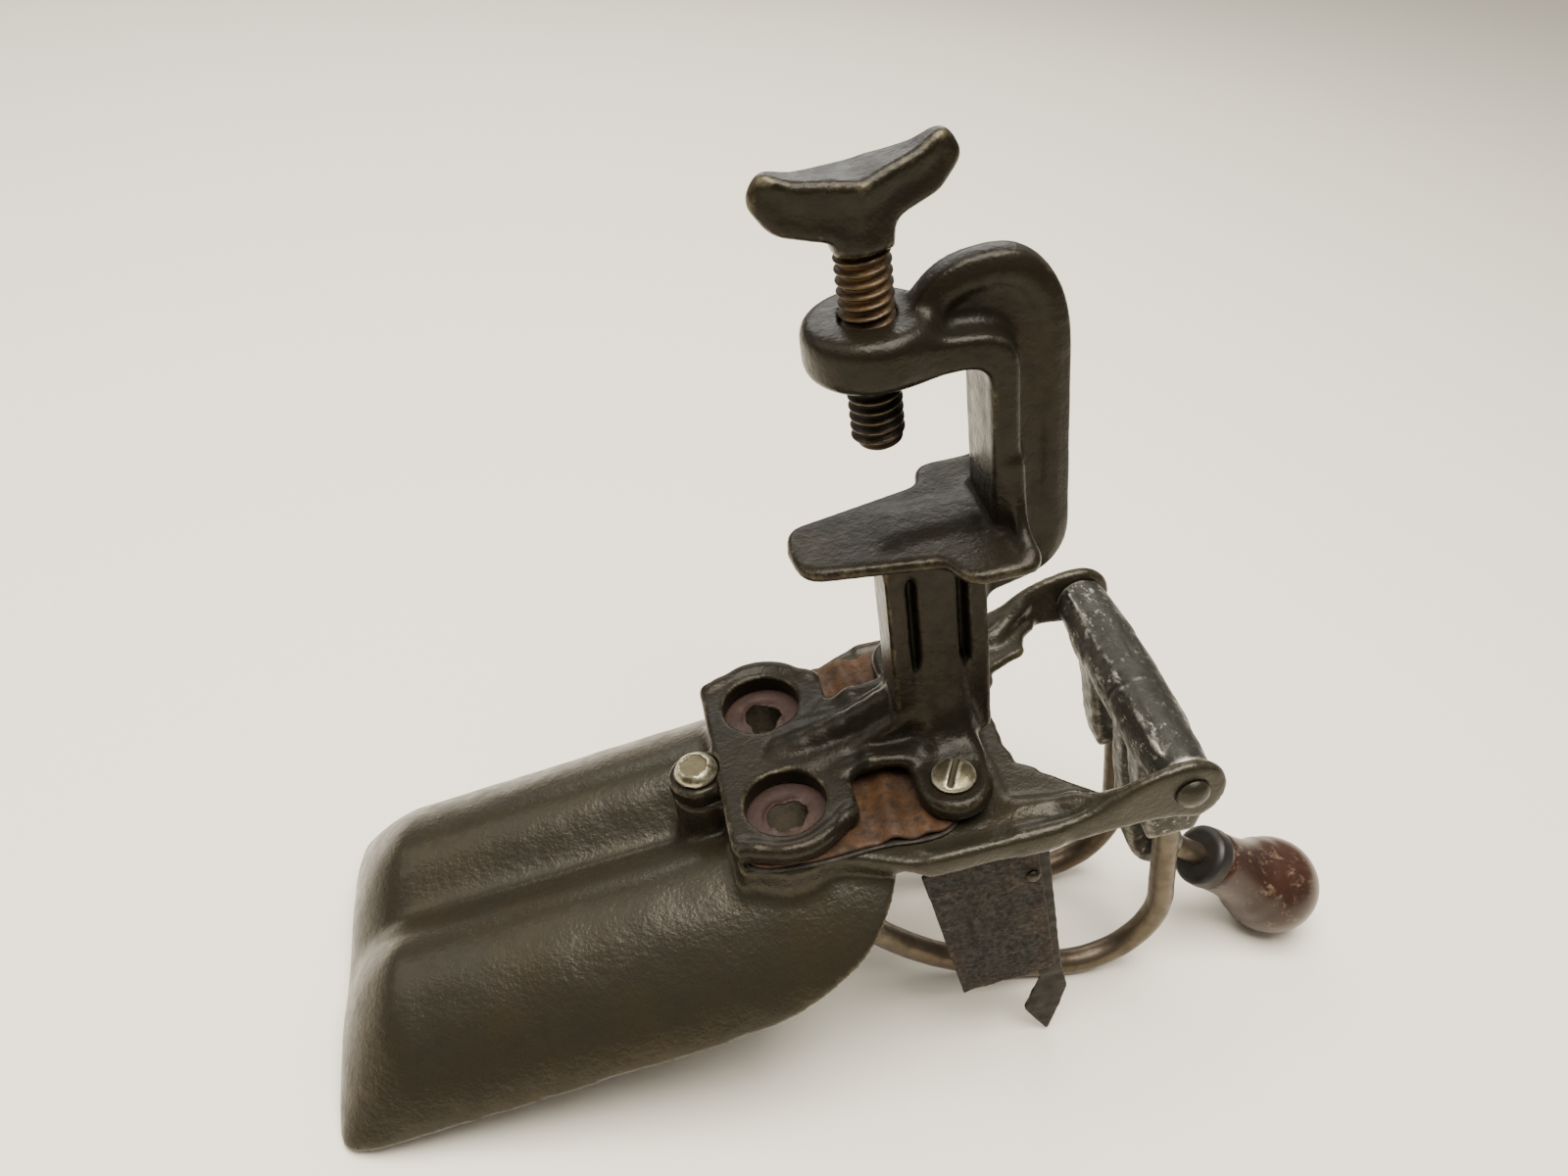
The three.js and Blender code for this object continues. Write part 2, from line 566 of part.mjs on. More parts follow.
/** The sheet that covers both cups and reaches back under the feet of the bracket. */
function sheetOutline() {
  const left = PLATE.left + 3.5;
  return outline([
    [left, -31, 4], [-45, -34.4, 6], [-28, -35, 6], [-12, -35.6, 8], [4, -36, 9], [8, -26, 2], [10, -15, 2],
    [10, 15, 2], [8, 26, 2], [4, 36, 9], [-12, 33.4, 8], [-28, 35, 6], [-45, 34.4, 6], [left, 31, 4],
  ]);
}

function sheet({ top, thickness }, holeRadius) {
  const blank = slab(sheetOutline(), [top - thickness, top], 4);
  const pitHoles = [-1, 1].map((side) => upright(CUP.x, side * CUP.y, [-20, 5], holeRadius, 16));
  const screwHoles = [-1, 1].map((side) =>
    upright(FOOT_SCREW.x, side * FOOT_SCREW.y, [-20, 5], FOOT_SCREW.shank + SEAT_GAP, 16));
  return geometryOf(cut(blank, ...pitHoles, ...screwHoles));
}

// ---------------------------------------------------------------- swinging plungers

/** The pivot rod, its ends spread into rivet heads over the fork arms. */
function pivotRod() {
  const end = FORK.outer + SEAT_GAP;
  const farEnd = [[PIVOT.rodRadius, end], [4.7, end], [4, end + 1.4], [2.2, end + 2.4], [0, end + 2.6]];
  const nearEnd = farEnd.slice().reverse().map(([radius, along]) => [radius, -along]);
  return turned([...nearEnd, ...farEnd], 16).rotateX(-Math.PI / 2);
}

const bendCentre = onArc(ROD.bendAngle, ROD.arc - ROD.bend);

/** The barrel that turns on the rod, the two sockets that grip the plungers, and the lever. */
function swingHub() {
  const { sleeveHalf, sleeveEndRadius, sleeveMidRadius } = PIVOT;
  const barrel = [[0, -sleeveHalf]];
  const rings = 6;
  for (let i = 0; i <= rings; i += 1) {
    const along = -sleeveHalf + (i / rings) * 2 * sleeveHalf;
    const bulge = Math.cos((along / sleeveHalf) * (Math.PI / 2));
    barrel.push([sleeveEndRadius + (sleeveMidRadius - sleeveEndRadius) * bulge, along]);
  }
  barrel.push([0, sleeveHalf]);
  const sleeve = solid(turned(barrel, 20).rotateX(-Math.PI / 2).translate(PIVOT.x, 0, PIVOT.z));
  const sockets = [-1, 1].map((side) => {
    const shape = outline([
      [PIVOT.x - 6, PIVOT.z], [SOCKET.left - 1, PIVOT.z - 18, 8], [SOCKET.left + 1.5, SOCKET.bottom, 5],
      [SOCKET.right - 1, SOCKET.bottom, 5], [SOCKET.right, PIVOT.z - 20, 8], [PIVOT.x + 6, PIVOT.z]]);
    const depth = 2 * SOCKET.half;
    const lug = solid(softened(shape, depth, 2.2, 4).rotateX(Math.PI / 2).translate(0, SOCKET.half, 0));
    return lug.translate([0, side * CUP.y, 0]);
  });
  const { rootX, rootZ, y } = HANDLE;
  const arm = outline([
    [PIVOT.x - 7, PIVOT.z], [PIVOT.x - 4, PIVOT.z - 40, 30], [rootX - 9, rootZ - 5, 8],
    [rootX + 2, rootZ - 9, 7], [rootX + 8, rootZ + 1, 6], [rootX - 1, rootZ + 16, 10],
    [PIVOT.x + 6.5, PIVOT.z - 10, 20], [PIVOT.x + 7, PIVOT.z],
  ]);
  const lever = solid(
    softened(arm, 2 * LEVER_HALF, 1.8, 4).rotateX(Math.PI / 2).translate(0, y + LEVER_HALF, 0));
  const bore = crosswise(PIVOT.x, PIVOT.z, [-60, 60], PIVOT.rodRadius + PIVOT_GAP, 16);
  const pocketSpan = [SOCKET.bottom - 9, ROD.topZ + SEAT_GAP];
  const rodPockets = [-1, 1].map((side) =>
    upright(bendCentre.x + ROD.bend, side * CUP.y, pocketSpan, ROD.radius + SEAT_GAP, 14));
  const studPocket = solid(handleSpindle(HANDLE.studRadius + SEAT_GAP, -SEAT_GAP, 30));
  return geometryOf(cut(join(sleeve, ...sockets, lever), bore, ...rodPockets, studPocket));
}

/** A point on the plungers' arc about the pivot, at an angle below the pivot's left. */
function onArc(degrees, radius = ROD.arc) {
  const angle = radians(degrees);
  return new THREE.Vector3(PIVOT.x - radius * Math.cos(angle), 0, PIVOT.z - radius * Math.sin(angle));
}

/** A plunger: an arc about the pivot from its tip, then a bend up to its socket. */
function plungerPoints() {
  const points = [];
  const arcSteps = 6;
  for (let i = 0; i < arcSteps; i += 1) {
    points.push(onArc(ROD.tipAngle + ((ROD.bendAngle - ROD.tipAngle) * i) / arcSteps));
  }
  const bendSteps = 6;
  for (let i = 0; i <= bendSteps; i += 1) {
    const angle = radians(ROD.bendAngle + ((180 - ROD.bendAngle) * i) / bendSteps);
    const outward = new THREE.Vector3(-Math.cos(angle), 0, -Math.sin(angle));
    points.push(bendCentre.clone().addScaledVector(outward, ROD.bend));
  }
  const straightX = bendCentre.x + ROD.bend;
  [-64, SOCKET.bottom - 4, ROD.topZ].forEach((z) => points.push(new THREE.Vector3(straightX, 0, z)));
  return points;
}

/** A plunger rod whose tip is notched into two prongs that drive the pit. */
function plungerRod() {
  const bar = bentBar(plungerPoints(), ROD.radius, 10, 28);
  const tip = plungerPoints()[0];
  const notch = block([-7, 7], [-1.1, 1.1], [-3.5, 3.5]).rotate([0, ROD.tipAngle, 0])
    .translate([tip.x, 0, tip.z]);
  return geometryOf(cut(bar, notch));
}

// ---------------------------------------------------------------- handle

/** A round bar on the handle's axis, from one distance along it to another. */
function handleSpindle(radius, from, to) {
  const bar = new THREE.CylinderGeometry(radius, radius, to - from, 14).translate(0, (from + to) / 2, 0);
  return onHandle(bar);
}

/** Turns a shape made along +Y from zero so that it runs along the handle's axis from its root. */
function onHandle(geometry) {
  return geometry.rotateZ(-Math.PI / 2).rotateY(radians(HANDLE.slope))
    .translate(HANDLE.rootX, HANDLE.y, HANDLE.rootZ);
}

function handlePart(points, sides) {
  const shape = points.map(([along, radius]) => new THREE.Vector2(radius, along));
  return onHandle(new THREE.LatheGeometry(shape, sides));
}

/** The cup-shaped metal ferrule round the neck of the wooden knob. */
function ferrule() {
  return handlePart([
    [21, 4.2], [21, 9.2], [21.6, 9.9], [29.5, 10.1], [29.5, 9.2], [23, 9], [23, 4.2], [21, 4.2]], 20);
}

/** The turned wooden knob, bored for the spindle. */
function knob() {
  const start = 23 + SEAT_GAP;
  const ballCentre = 59;
  const points = [[start, 3.95], [start, 8.7], [29.8, 8.9], [29.9, 9.7], [36, 10], [42, 10.8], [46.5, 12.4]];
  for (let degrees = 120; degrees >= 0; degrees -= 20) {
    const angle = radians(degrees);
    const along = ballCentre + HANDLE.knobRadius * Math.cos(angle);
    points.push([along, Math.max(HANDLE.knobRadius * Math.sin(angle), 0)]);
  }
  points.push([56, 0], [56, 3.95], [start, 3.95]);
  return handlePart(points, 20);
}

const spindle = () => handleSpindle(HANDLE.studRadius, 0, 55.5);

// ---------------------------------------------------------------- strippers

const stripperY = RAIL.outer - STRIPPER.skirt - SEAT_GAP - STRIPPER.thickness / 2;
const fingerY = stripperY - STRIPPER.thickness - SEAT_GAP;

function stripperBlade(shape, side, y) {
  const { thickness, rivetX, rivetZ, rivetRadius } = STRIPPER;
  const blade = profile(shape, [side * y - thickness / 2, side * y + thickness / 2], 3);
  return geometryOf(cut(blade, crosswise(rivetX, rivetZ, [-60, 60], rivetRadius + SEAT_GAP, 12)));
}

/** The tin plate that hangs behind the skirt of one rail, beside the plungers. */
const stripperPlate = (side) => stripperBlade(outline([
  [-7.5, STRIPPER.top - 4, 3], [-4, STRIPPER.top], [16.5, STRIPPER.top], [17, RAIL.bottom - 0.6],
  [24.2, RAIL.bottom - 0.6], [29.2, -71, 1], [1.6, -73.3, 1]]), side, stripperY);

/** The pointed steel finger that hangs lower, riveted behind the plate. */
const stripperFinger = (side) => stripperBlade(outline([
  [19, -18.5], [27.6, -18.5], [31.4, -72], [33.2, -83.6, 1],
  [27.3, -105.2], [20.2, -91, 1], [25, -76], [21, -60]]), side, fingerY);

/** The rivet that holds the finger to the plate. */
function stripperRivet() {
  const outside = stripperY + STRIPPER.thickness / 2 + SEAT_GAP;
  const inside = fingerY - STRIPPER.thickness / 2 - SEAT_GAP;
  const { rivetRadius } = STRIPPER;
  const headRadius = 2.2;
  const rivet = turned([
    [0, inside - 1], [1.4, inside - 0.8], [headRadius, inside], [rivetRadius, inside],
    [rivetRadius, outside], [headRadius, outside], [1.4, outside + 0.8], [0, outside + 1]], 12);
  return rivet.rotateX(-Math.PI / 2);
}

// ---------------------------------------------------------------- assembly

function material(colour, roughness, metalness) {
  return new THREE.MeshStandardMaterial({ color: colour, roughness, metalness });
}

const castIron = () => material(0x3a342b, 0.5, 0.85);
const workedIron = () => material(0x6b6250, 0.45, 0.9);
const wornNickel = () => material(0x9a8f6c, 0.4, 0.95);
const zinc = () => material(0x6f6f6a, 0.5, 0.9);
const tin = () => material(0x33281f, 0.7, 0.7);

const tool = new THREE.Group();

function add(name, geometry, finish, x = 0, y = 0, z = 0, side = 1) {
  const mesh = new THREE.Mesh(geometry, finish);
  mesh.name = name;
  mesh.position.set(x, y, z);
  if (side < 0) mesh.rotation.z = Math.PI;
  tool.add(mesh);
}

add('tray_body', geometryOf(trayBody()), castIron());
add('clamp_bracket', geometryOf(clampBracket()), castIron());
add('clamp_screw', clampScrew(), workedIron());
add('thumb_wing', geometryOf(thumbWing()), workedIron());
add('plate_bolt', domedBolt(), wornNickel(), PLATE_BOLT.x);
add('plate_bolt_nut', squareNut(), workedIron(), PLATE_BOLT.x, 0, -33 - SEAT_GAP - 5);
add('leather_sheet', sheet(LEATHER, 5.4), material(0x6e3d22, 0.85, 0));
add('backing_sheet', sheet(BACKING, 8), material(0x1d1a17, 0.8, 0));
add('pivot_rod', pivotRod(), workedIron(), PIVOT.x, 0, PIVOT.z);
add('swing_hub', swingHub(), zinc());
add('handle_spindle', spindle(), workedIron());
add('handle_ferrule', ferrule(), material(0x1c1b1a, 0.5, 0.8));
add('handle_knob', knob(), material(0x4a1f14, 0.4, 0));
for (const [name, side] of [['near', -1], ['far', 1]]) {
  add(`foot_screw_${name}`, slottedScrew(), wornNickel(), FOOT_SCREW.x, side * FOOT_SCREW.y);
  add(`plunger_rod_${name}`, plungerRod(), workedIron(), 0, side * CUP.y);
  add(`stripper_plate_${name}`, stripperPlate(side), tin());
  add(`stripper_finger_${name}`, stripperFinger(side), tin());
  add(`stripper_rivet_${name}`, stripperRivet(), workedIron(), STRIPPER.rivetX, 0, STRIPPER.rivetZ, side);
}

// The tilt that lets the tray's end rim and the curve of the plungers touch the table together.
const rimToPivot = { x: PIVOT.x - TRAY.left, z: PIVOT.z - trayRim(TRAY.left) };
const restTilt = Math.asin((ROD.arc + ROD.radius) / Math.hypot(rimToPivot.x, rimToPivot.z))
  - Math.atan2(rimToPivot.z, rimToPivot.x);
tool.rotation.y = -restTilt;

const group = new THREE.Group();
group.add(tool);
group.updateMatrixWorld(true);
const bounds = new THREE.Box3().setFromObject(group, true);
const middle = bounds.getCenter(new THREE.Vector3());
tool.position.set(-middle.x, -middle.y, -bounds.min.z);

export default group;
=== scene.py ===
"""Looks for a cast-iron double cherry stoner that lies on its tray, with its table clamp standing up.

Every piece is modelled in the tool's own design frame, in millimetres: +Z up the clamp screw, +X from the
tray to the plunger pivot, Z = 0 on the flat of the cup plate. Row.place() then tilts it the way it rests.
Castings and worn parts are distance fields, so that their shapes run into each other in soft fillets.
"""

import copy
import math

import bpy
import numpy as np
import openvdb
from mathutils import Matrix, Vector
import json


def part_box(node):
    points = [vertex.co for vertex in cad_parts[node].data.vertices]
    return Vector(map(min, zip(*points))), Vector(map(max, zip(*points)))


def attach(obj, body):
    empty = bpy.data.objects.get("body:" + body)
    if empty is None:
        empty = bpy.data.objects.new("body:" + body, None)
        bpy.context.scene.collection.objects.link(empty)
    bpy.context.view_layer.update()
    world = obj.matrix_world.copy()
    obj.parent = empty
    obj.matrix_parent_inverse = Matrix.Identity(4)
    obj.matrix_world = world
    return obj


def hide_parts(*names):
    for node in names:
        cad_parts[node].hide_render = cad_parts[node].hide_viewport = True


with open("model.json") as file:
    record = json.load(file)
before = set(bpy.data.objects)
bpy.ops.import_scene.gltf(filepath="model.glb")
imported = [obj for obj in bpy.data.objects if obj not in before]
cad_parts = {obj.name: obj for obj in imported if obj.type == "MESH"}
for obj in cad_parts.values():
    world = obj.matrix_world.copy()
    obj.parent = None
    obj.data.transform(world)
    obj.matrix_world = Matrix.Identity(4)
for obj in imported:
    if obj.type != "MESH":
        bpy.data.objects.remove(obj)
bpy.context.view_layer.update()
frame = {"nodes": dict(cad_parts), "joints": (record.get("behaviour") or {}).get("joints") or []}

MM = 0.001
FAR = 9.0  # how far from a surface a field is kept
EDGE_SHARE = 0.35  # the part of its limit that the blurred field reaches on a sharp edge
COARSE = 1.0

# ---------------------------------------------------------------- driving dimensions, in millimetres

PIVOT_X, PIVOT_Z = 65.0, -5.0
CUP_X, CUP_Y = -38.0, 19.0
SEAT_TOP = -8.4
PLATE_LEFT, PLATE_RIGHT, PLATE_HALF, LOBE = -54.5, -19.5, 31.2, 17.3
TRAY_LEFT, TRAY_RIGHT, TRAY_HALF, TRAY_WALL, END_LEAN = -174.0, -12.0, 57.5, 3.8, 25.0
RAIL_OUTER, RAIL_INNER, RAIL_RIGHT, RAIL_BOTTOM, RAIL_TOP = 43.2, 33.0, 27.0, -14.6, -7.2
SCREW_R, SCREW_PITCH, SCREW_TIP, SCREW_TOP = 6.35, 2.6, 93.0, 142.4
THREAD_SHARPNESS, THREAD_FLOOR, TIP_CHAMFER = 1.25, 5.0, 1.6
BOSS_R, BOSS_ROUND, BOSS_LOW, BOSS_TOP = 15.4, 3.8, 113.5, 126.5
PAD_TOP, PAD_THICK, FACE_X, WEB_X = 68.0, 3.2, 24.0, 31.0
SPINE_X, SPINE_TOP, SPINE_LOW = 45.4, 136.3, 47.0
FOOT_X, FOOT_Y, FOOT_TOP, FOOT_HOLE = 6.6, 25.0, 1.0, 3.5
BOLT_X, BOLT_SEAT, BOLT_HOLE = -59.7, -1.7, 3.7
ROD_R, ROD_ARC, ROD_BEND, ROD_TIP_ANGLE, ROD_BEND_ANGLE, ROD_TOP = 3.95, 103.0, 25.0, 25.0, 76.0, -32.0
HANDLE_AT = np.array([74.0, -5.5, -69.5])
HANDLE_SLOPE = 44.0
STUD_R, STUD_END, FERRULE_AT, FERRULE_END = 3.6, 55.0, 21.0, 26.7
KNOB_CENTRE, KNOB_R = 59.0, 16.0
HUB_HALF, HUB_END_R, HUB_SWELL, SEAM_R, SCAR_R = 38.5, 7.3, 1.7, 8.55, 9.3
PIVOT_HOLE, FORK_Y = 3.5, (39.0, 42.8)
CUP_BORE_LOW, CUP_BORE_HIGH, CUP_BOSS_R = 10.4, 11.0, 15.0
FLAP_WAY = {-1: 2.9, 1: 1.9}
SLIT_DEGREES = {-1: 205, 1: 140}
STRIPPER_Y, FINGER_Y, STRIPPER_SHEET = 40.7, 39.6, 0.85
STRIPPER_RIVET_AT = (22.6, -26.0)
LEATHER_TOP, LEATHER_THICK = -5.8, 1.35


# ---------------------------------------------------------------- from the design frame to the row frame


class Row:
    """The rest tilt and shift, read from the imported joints."""

    hinge = next(j for j in frame["joints"] if j["name"] == "lever_swing")
    slide = next(j for j in frame["joints"] if j["name"] == "screw_travel")
    tilt = math.atan2(-slide["axis"][0], slide["axis"][2])
    sin, cos = math.sin(tilt), math.cos(tilt)

    @classmethod
    def turn(cls, v):
        v = np.asarray(v, float)
        return np.stack([v[..., 0] * cls.cos - v[..., 2] * cls.sin, v[..., 1],
                         v[..., 0] * cls.sin + v[..., 2] * cls.cos], axis=-1)

    @classmethod
    def place(cls, points):
        """Design millimetres to row metres."""
        moved = cls.turn(np.asarray(points, float) - [PIVOT_X, 0, PIVOT_Z])
        return moved * MM + np.array(cls.hinge["pos_m"])


# ---------------------------------------------------------------- distances


def polygon_distance(u, v, corners):
    """Signed distance to a closed outline in a plane, negative inside."""
    u, v = np.broadcast_arrays(u, v)
    best = np.full(u.shape, 1e12)
    inside = np.zeros(u.shape, bool)
    for (ax, ay), (bx, by) in zip(corners, np.roll(corners, -1, axis=0)):
        ex, ey = bx - ax, by - ay
        t = np.clip(((u - ax) * ex + (v - ay) * ey) / (ex * ex + ey * ey + 1e-12), 0, 1)
        best = np.minimum(best, (u - ax - ex * t) ** 2 + (v - ay - ey * t) ** 2)
        if ay != by:
            inside ^= ((ay > v) != (by > v)) & (u < (bx - ax) * (v - ay) / (by - ay) + ax)
    return np.where(inside, -1, 1) * np.sqrt(best)


def smooth_min(a, b, reach):
    if reach <= 0:
        return np.minimum(a, b)
    overlap = np.maximum(reach - np.abs(a - b), 0) / reach
    return np.minimum(a, b) - overlap * overlap * reach / 4


def rounded_extrusion(flat, along, rounding):
    """Joins an outline's distance and a thickness's distance, with its edges rounded."""
    a, b = flat + rounding, along + rounding
    return np.minimum(np.maximum(a, b), 0) + np.sqrt(np.maximum(a, 0) ** 2 + np.maximum(b, 0) ** 2) - rounding


def curve(*controls, steps=10):
    """Points along a Bezier curve."""
    t = np.linspace(0, 1, steps)[:, None]
    points = [np.array(c, float) for c in controls]
    rows = [p[None, :] for p in points]
    while len(rows) > 1:
        rows = [a * (1 - t) + b * t for a, b in zip(rows, rows[1:])]
    return [tuple(p) for p in rows[0]]


def arc(centre, radius, start, stop, steps=12):
    angles = np.radians(np.linspace(start, stop, steps))
    return [(centre[0] + radius * math.cos(a), centre[1] + radius * math.sin(a)) for a in angles]


def outline(points, steps=5):
    """A closed outline from (u, v, corner radius) points."""
    out = []
    for i, (u, v, *radius) in enumerate(points):
        near = points[i], points[i - 1], points[(i + 1) % len(points)]
        here, before, after = (np.array(q[:2], float) for q in near)
        radius = radius[0] if radius else 0
        into, onward = before - here, after - here
        a, b = np.linalg.norm(into), np.linalg.norm(onward)
        turn = math.pi - math.acos(np.clip(np.dot(into, onward) / (a * b), -1, 1))
        reach = min(radius * math.tan(turn / 2), a * 0.49, b * 0.49)
        if reach <= 0:
            out.append((u, v))
        else:
            out.extend(curve(here + into / a * reach, here, here + onward / b * reach, steps=steps))
    return out


def prism(corners, axis, span, rounding=0.0):
    """An outline drawn out along one axis. The outline's plane keeps the order X, Y, Z."""
    corners = np.array(corners, float)
    low2, high2 = corners.min(0), corners.max(0)
    k = "xyz".index(axis)
    low, high = np.insert(low2, k, span[0]), np.insert(high2, k, span[1])
    middle, half = (span[0] + span[1]) / 2, (span[1] - span[0]) / 2

    def distance(*xyz):
        flat = [c for i, c in enumerate(xyz) if i != k]
        return rounded_extrusion(polygon_distance(*flat, corners), np.abs(xyz[k] - middle) - half, rounding)

    return low, high, distance


def rimmed_plate(corners, half, rim_half, rim_width, ridge, ridge_reach):
    """An upright plate across Y with a rolled edge, which swells to a sharp ridge over X = 0."""
    corners = np.array(corners, float)
    reach = rim_half + ridge
    low, high = np.insert(corners.min(0), 1, -reach), np.insert(corners.max(0), 1, reach)

    def distance(x, y, z):
        flat = polygon_distance(x, z, corners)
        thick = half + (rim_half - half) * np.exp(-((flat + rim_half) / rim_width) ** 2)
        thick = thick + ridge * np.maximum(0, 1 - np.abs(x) / ridge_reach)
        return rounded_extrusion(flat, np.abs(y) - thick, rim_half * 0.9)

    return low, high, distance


def block(x, y, z, rounding=0.0):
    return prism([(x[0], y[0]), (x[1], y[0]), (x[1], y[1]), (x[0], y[1])], "z", z, rounding)


def round_line(xyz, origin, way):
    """How far a place is along a line, and how far away from it."""
    x, y, z = (c - o for c, o in zip(xyz, origin))
    along = x * way[0] + y * way[1] + z * way[2]
    return along, np.sqrt(np.maximum(x ** 2 + y ** 2 + z ** 2 - along ** 2, 0))


def bar(a, b, radius, rounding=0.0, end_radius=None):
    """A round bar from a to b, with flat ends whose edges are rounded."""
    a, b = np.array(a, float), np.array(b, float)
    length = np.linalg.norm(b - a)
    way = (b - a) / length
    end_radius = radius if end_radius is None else end_radius
    reach = max(radius, end_radius)

    def distance(*xyz):
        along, away = round_line(xyz, a, way)
        share = np.clip(along / length, 0, 1)
        flat = away - (radius + (end_radius - radius) * share)
        return rounded_extrusion(flat, np.abs(along - length / 2) - length / 2, rounding)

    return np.minimum(a, b) - reach, np.maximum(a, b) + reach, distance


def capsule(a, b, radius, end_radius=None):
    """A round-ended bar whose radius may change evenly along it."""
    a, b = np.array(a, float), np.array(b, float)
    square_length = float(((b - a) ** 2).sum())
    end_radius = radius if end_radius is None else end_radius
    reach = max(radius, end_radius)

    def distance(*xyz):
        t = np.clip(sum((c - o) * w for c, o, w in zip(xyz, a, b - a)) / square_length, 0, 1)
        gap = sum((c - o - w * t) ** 2 for c, o, w in zip(xyz, a, b - a))
        return np.sqrt(gap) - (radius + (end_radius - radius) * t)

    return np.minimum(a, b) - reach, np.maximum(a, b) + reach, distance


def chain(points, radius):
    return [capsule(a, b, radius) for a, b in zip(points, points[1:])]


def turned(origin, way, profile):
    """A solid of revolution about a line through origin, from (along, radius) points."""
    origin, way = np.array(origin, float), np.array(way, float)
    corners = np.array(profile + [(h, -r) for h, r in profile[::-1]], float)
    reach = corners[:, 1].max()
    ends = origin + np.outer([corners[:, 0].min(), corners[:, 0].max()], way)

    def distance(*xyz):
        return polygon_distance(*round_line(xyz, origin, way), corners)

    return ends.min(0) - reach, ends.max(0) + reach, distance


def mirrored(shape):
    """The same shape on the other side of the tool's middle plane."""
    low, high, distance = shape
    return (np.array([low[0], -high[1], low[2]]), np.array([high[0], -low[1], high[2]]),
            lambda x, y, z: distance(x, -y, z))


BOTH_SIDES = (lambda shape: shape, mirrored)


def skin_field(points, quads):
    """The shape inside a closed skin of quads."""
    points = np.asarray(points, float)

    def distance(x, y, z):
        step = float(x.ravel()[1] - x.ravel()[0])
        low = np.array([x.ravel()[0], y.ravel()[0], z.ravel()[0]])
        band = max(6, math.ceil(FAR / step))
        transform = openvdb.createLinearTransform(voxelSize=step)
        grid = openvdb.FloatGrid.createLevelSetFromPolygons(
            points - low, quads=np.asarray(quads, np.uint32), transform=transform, halfWidth=band)
        field = np.zeros((x.size, y.size, z.size), np.float32)
        grid.copyToArray(field, ijk=(0, 0, 0))
        return field

    return points.min(0), points.max(0), distance


# ---------------------------------------------------------------- clay: shapes pressed into one field


def box_blur(field, cells):
    for k in range(3):
        padded = np.concatenate([np.repeat(field.take([0], axis=k), cells + 1, axis=k), field,
                                 np.repeat(field.take([-1], axis=k), cells, axis=k)], axis=k)
        total = np.cumsum(padded, axis=k, dtype=np.float64)
        width, size = 2 * cells + 1, field.shape[k]
        span = total.take(range(width, width + size), axis=k) - total.take(range(size), axis=k)
        field = (span / width).astype(np.float32)
    return field


class Clay:
    def __init__(self, low, high, voxel):
        self.voxel = voxel * COARSE
        self.low = np.array(low, float) - 5 * self.voxel
        self.count = np.ceil((np.array(high, float) - self.low) / self.voxel).astype(int) + 6
        self.field = np.full(self.count, FAR, np.float32)

    def axes(self):
        """The cells' places in millimetres, as three arrays that broadcast."""
        lines = [self.low[k] + np.arange(self.count[k]) * self.voxel for k in range(3)]
        return tuple(line.reshape([-1 if i == k else 1 for i in range(3)]) for k, line in enumerate(lines))

    def blank(self):
        """Empty clay on the same cells."""
        other = copy.copy(self)
        other.field = np.full(self.count, FAR, np.float32)
        return other

    def window(self, shape, margin):
        low, high, distance = shape
        first = np.clip(np.floor((low - margin - self.low) / self.voxel).astype(int), 0, self.count)
        last = np.clip(np.ceil((high + margin - self.low) / self.voxel).astype(int), 0, self.count)
        if (last <= first + 1).any():
            return None, None
        where = tuple(slice(a, b) for a, b in zip(first, last))
        cells = [line.take(range(first[k], last[k]), axis=k) for k, line in enumerate(self.axes())]
        return where, distance(*cells)

    def add(self, *shapes, blend=0.0):
        for shape in shapes:
            where, d = self.window(shape, blend + 4)
            if where:
                self.field[where] = smooth_min(self.field[where], d, blend)
        return self

    def cut(self, *shapes, blend=0.0):
        for shape in shapes:
            where, d = self.window(shape, blend + 4)
            if where:
                self.field[where] = -smooth_min(-self.field[where], d, blend)
        return self

    def lumps(self, size, height, seed):
        """An uneven surface, as a sand mould or wear leaves it."""
        rng = np.random.RandomState(seed)
        coarse = np.ceil(self.count * self.voxel / size).astype(int) + 3
        wave = rng.uniform(-1, 1, coarse)
        for k in range(3):
            at = np.arange(self.count[k]) * self.voxel / size
            i = at.astype(int)
            t = at - i
            t = (t * t * (3 - 2 * t)).reshape([-1 if j == k else 1 for j in range(3)])
            wave = np.take(wave, i, axis=k) * (1 - t) + np.take(wave, i + 1, axis=k) * t
        self.field += (height * wave).astype(np.float32)
        return self

    def soften(self, cells=1):
        self.field = box_blur(self.field, cells)
        return self

    def sample(self, field, points):
        i = np.clip(np.floor(points).astype(int), 0, self.count - 2)
        t = points - i
        value = 0
        for corner in np.ndindex(2, 2, 2):
            weight = np.prod(np.where(corner, t, 1 - t), axis=1)
            value = value + weight * field[tuple((i + corner).T)]
        return value

    def mesh(self, name, body, node, look, wear_and_shade_reach=2.0):
        """Skins the field, and marks each point's edge wear on convex edges and painted shade in concave
        corners.
        """
        grid = openvdb.FloatGrid(FAR)
        grid.copyFromArray(self.field)
        points, triangles, quads = grid.convertToPolygons(0.0, 0.0)
        clip = wear_and_shade_reach * 0.66
        skin = np.clip(self.field, -clip, clip)
        # the edge measure: above zero on convex edges, for wear, and below zero in concave corners, for
        # painted shade
        edge = self.sample(box_blur(skin, max(1, round(wear_and_shade_reach / self.voxel))), points)
        world = Row.place(points * self.voxel + self.low)
        faces = [tuple(q[::-1]) for q in quads.tolist()] + [tuple(t[::-1]) for t in triangles.tolist()]
        piece = make_piece(name, world, faces, body, node, look)
        add_values(piece, "edge", edge / (clip * EDGE_SHARE))
        return piece


def add_values(piece, name, values):
    values = np.asarray(values, np.float32)
    layer = piece.data.attributes.new(name, "FLOAT", "POINT")
    layer.data.foreach_set("value", values)


def linked(name, data):
    thing = bpy.data.objects.new(name, data)
    bpy.context.scene.collection.objects.link(thing)
    return thing


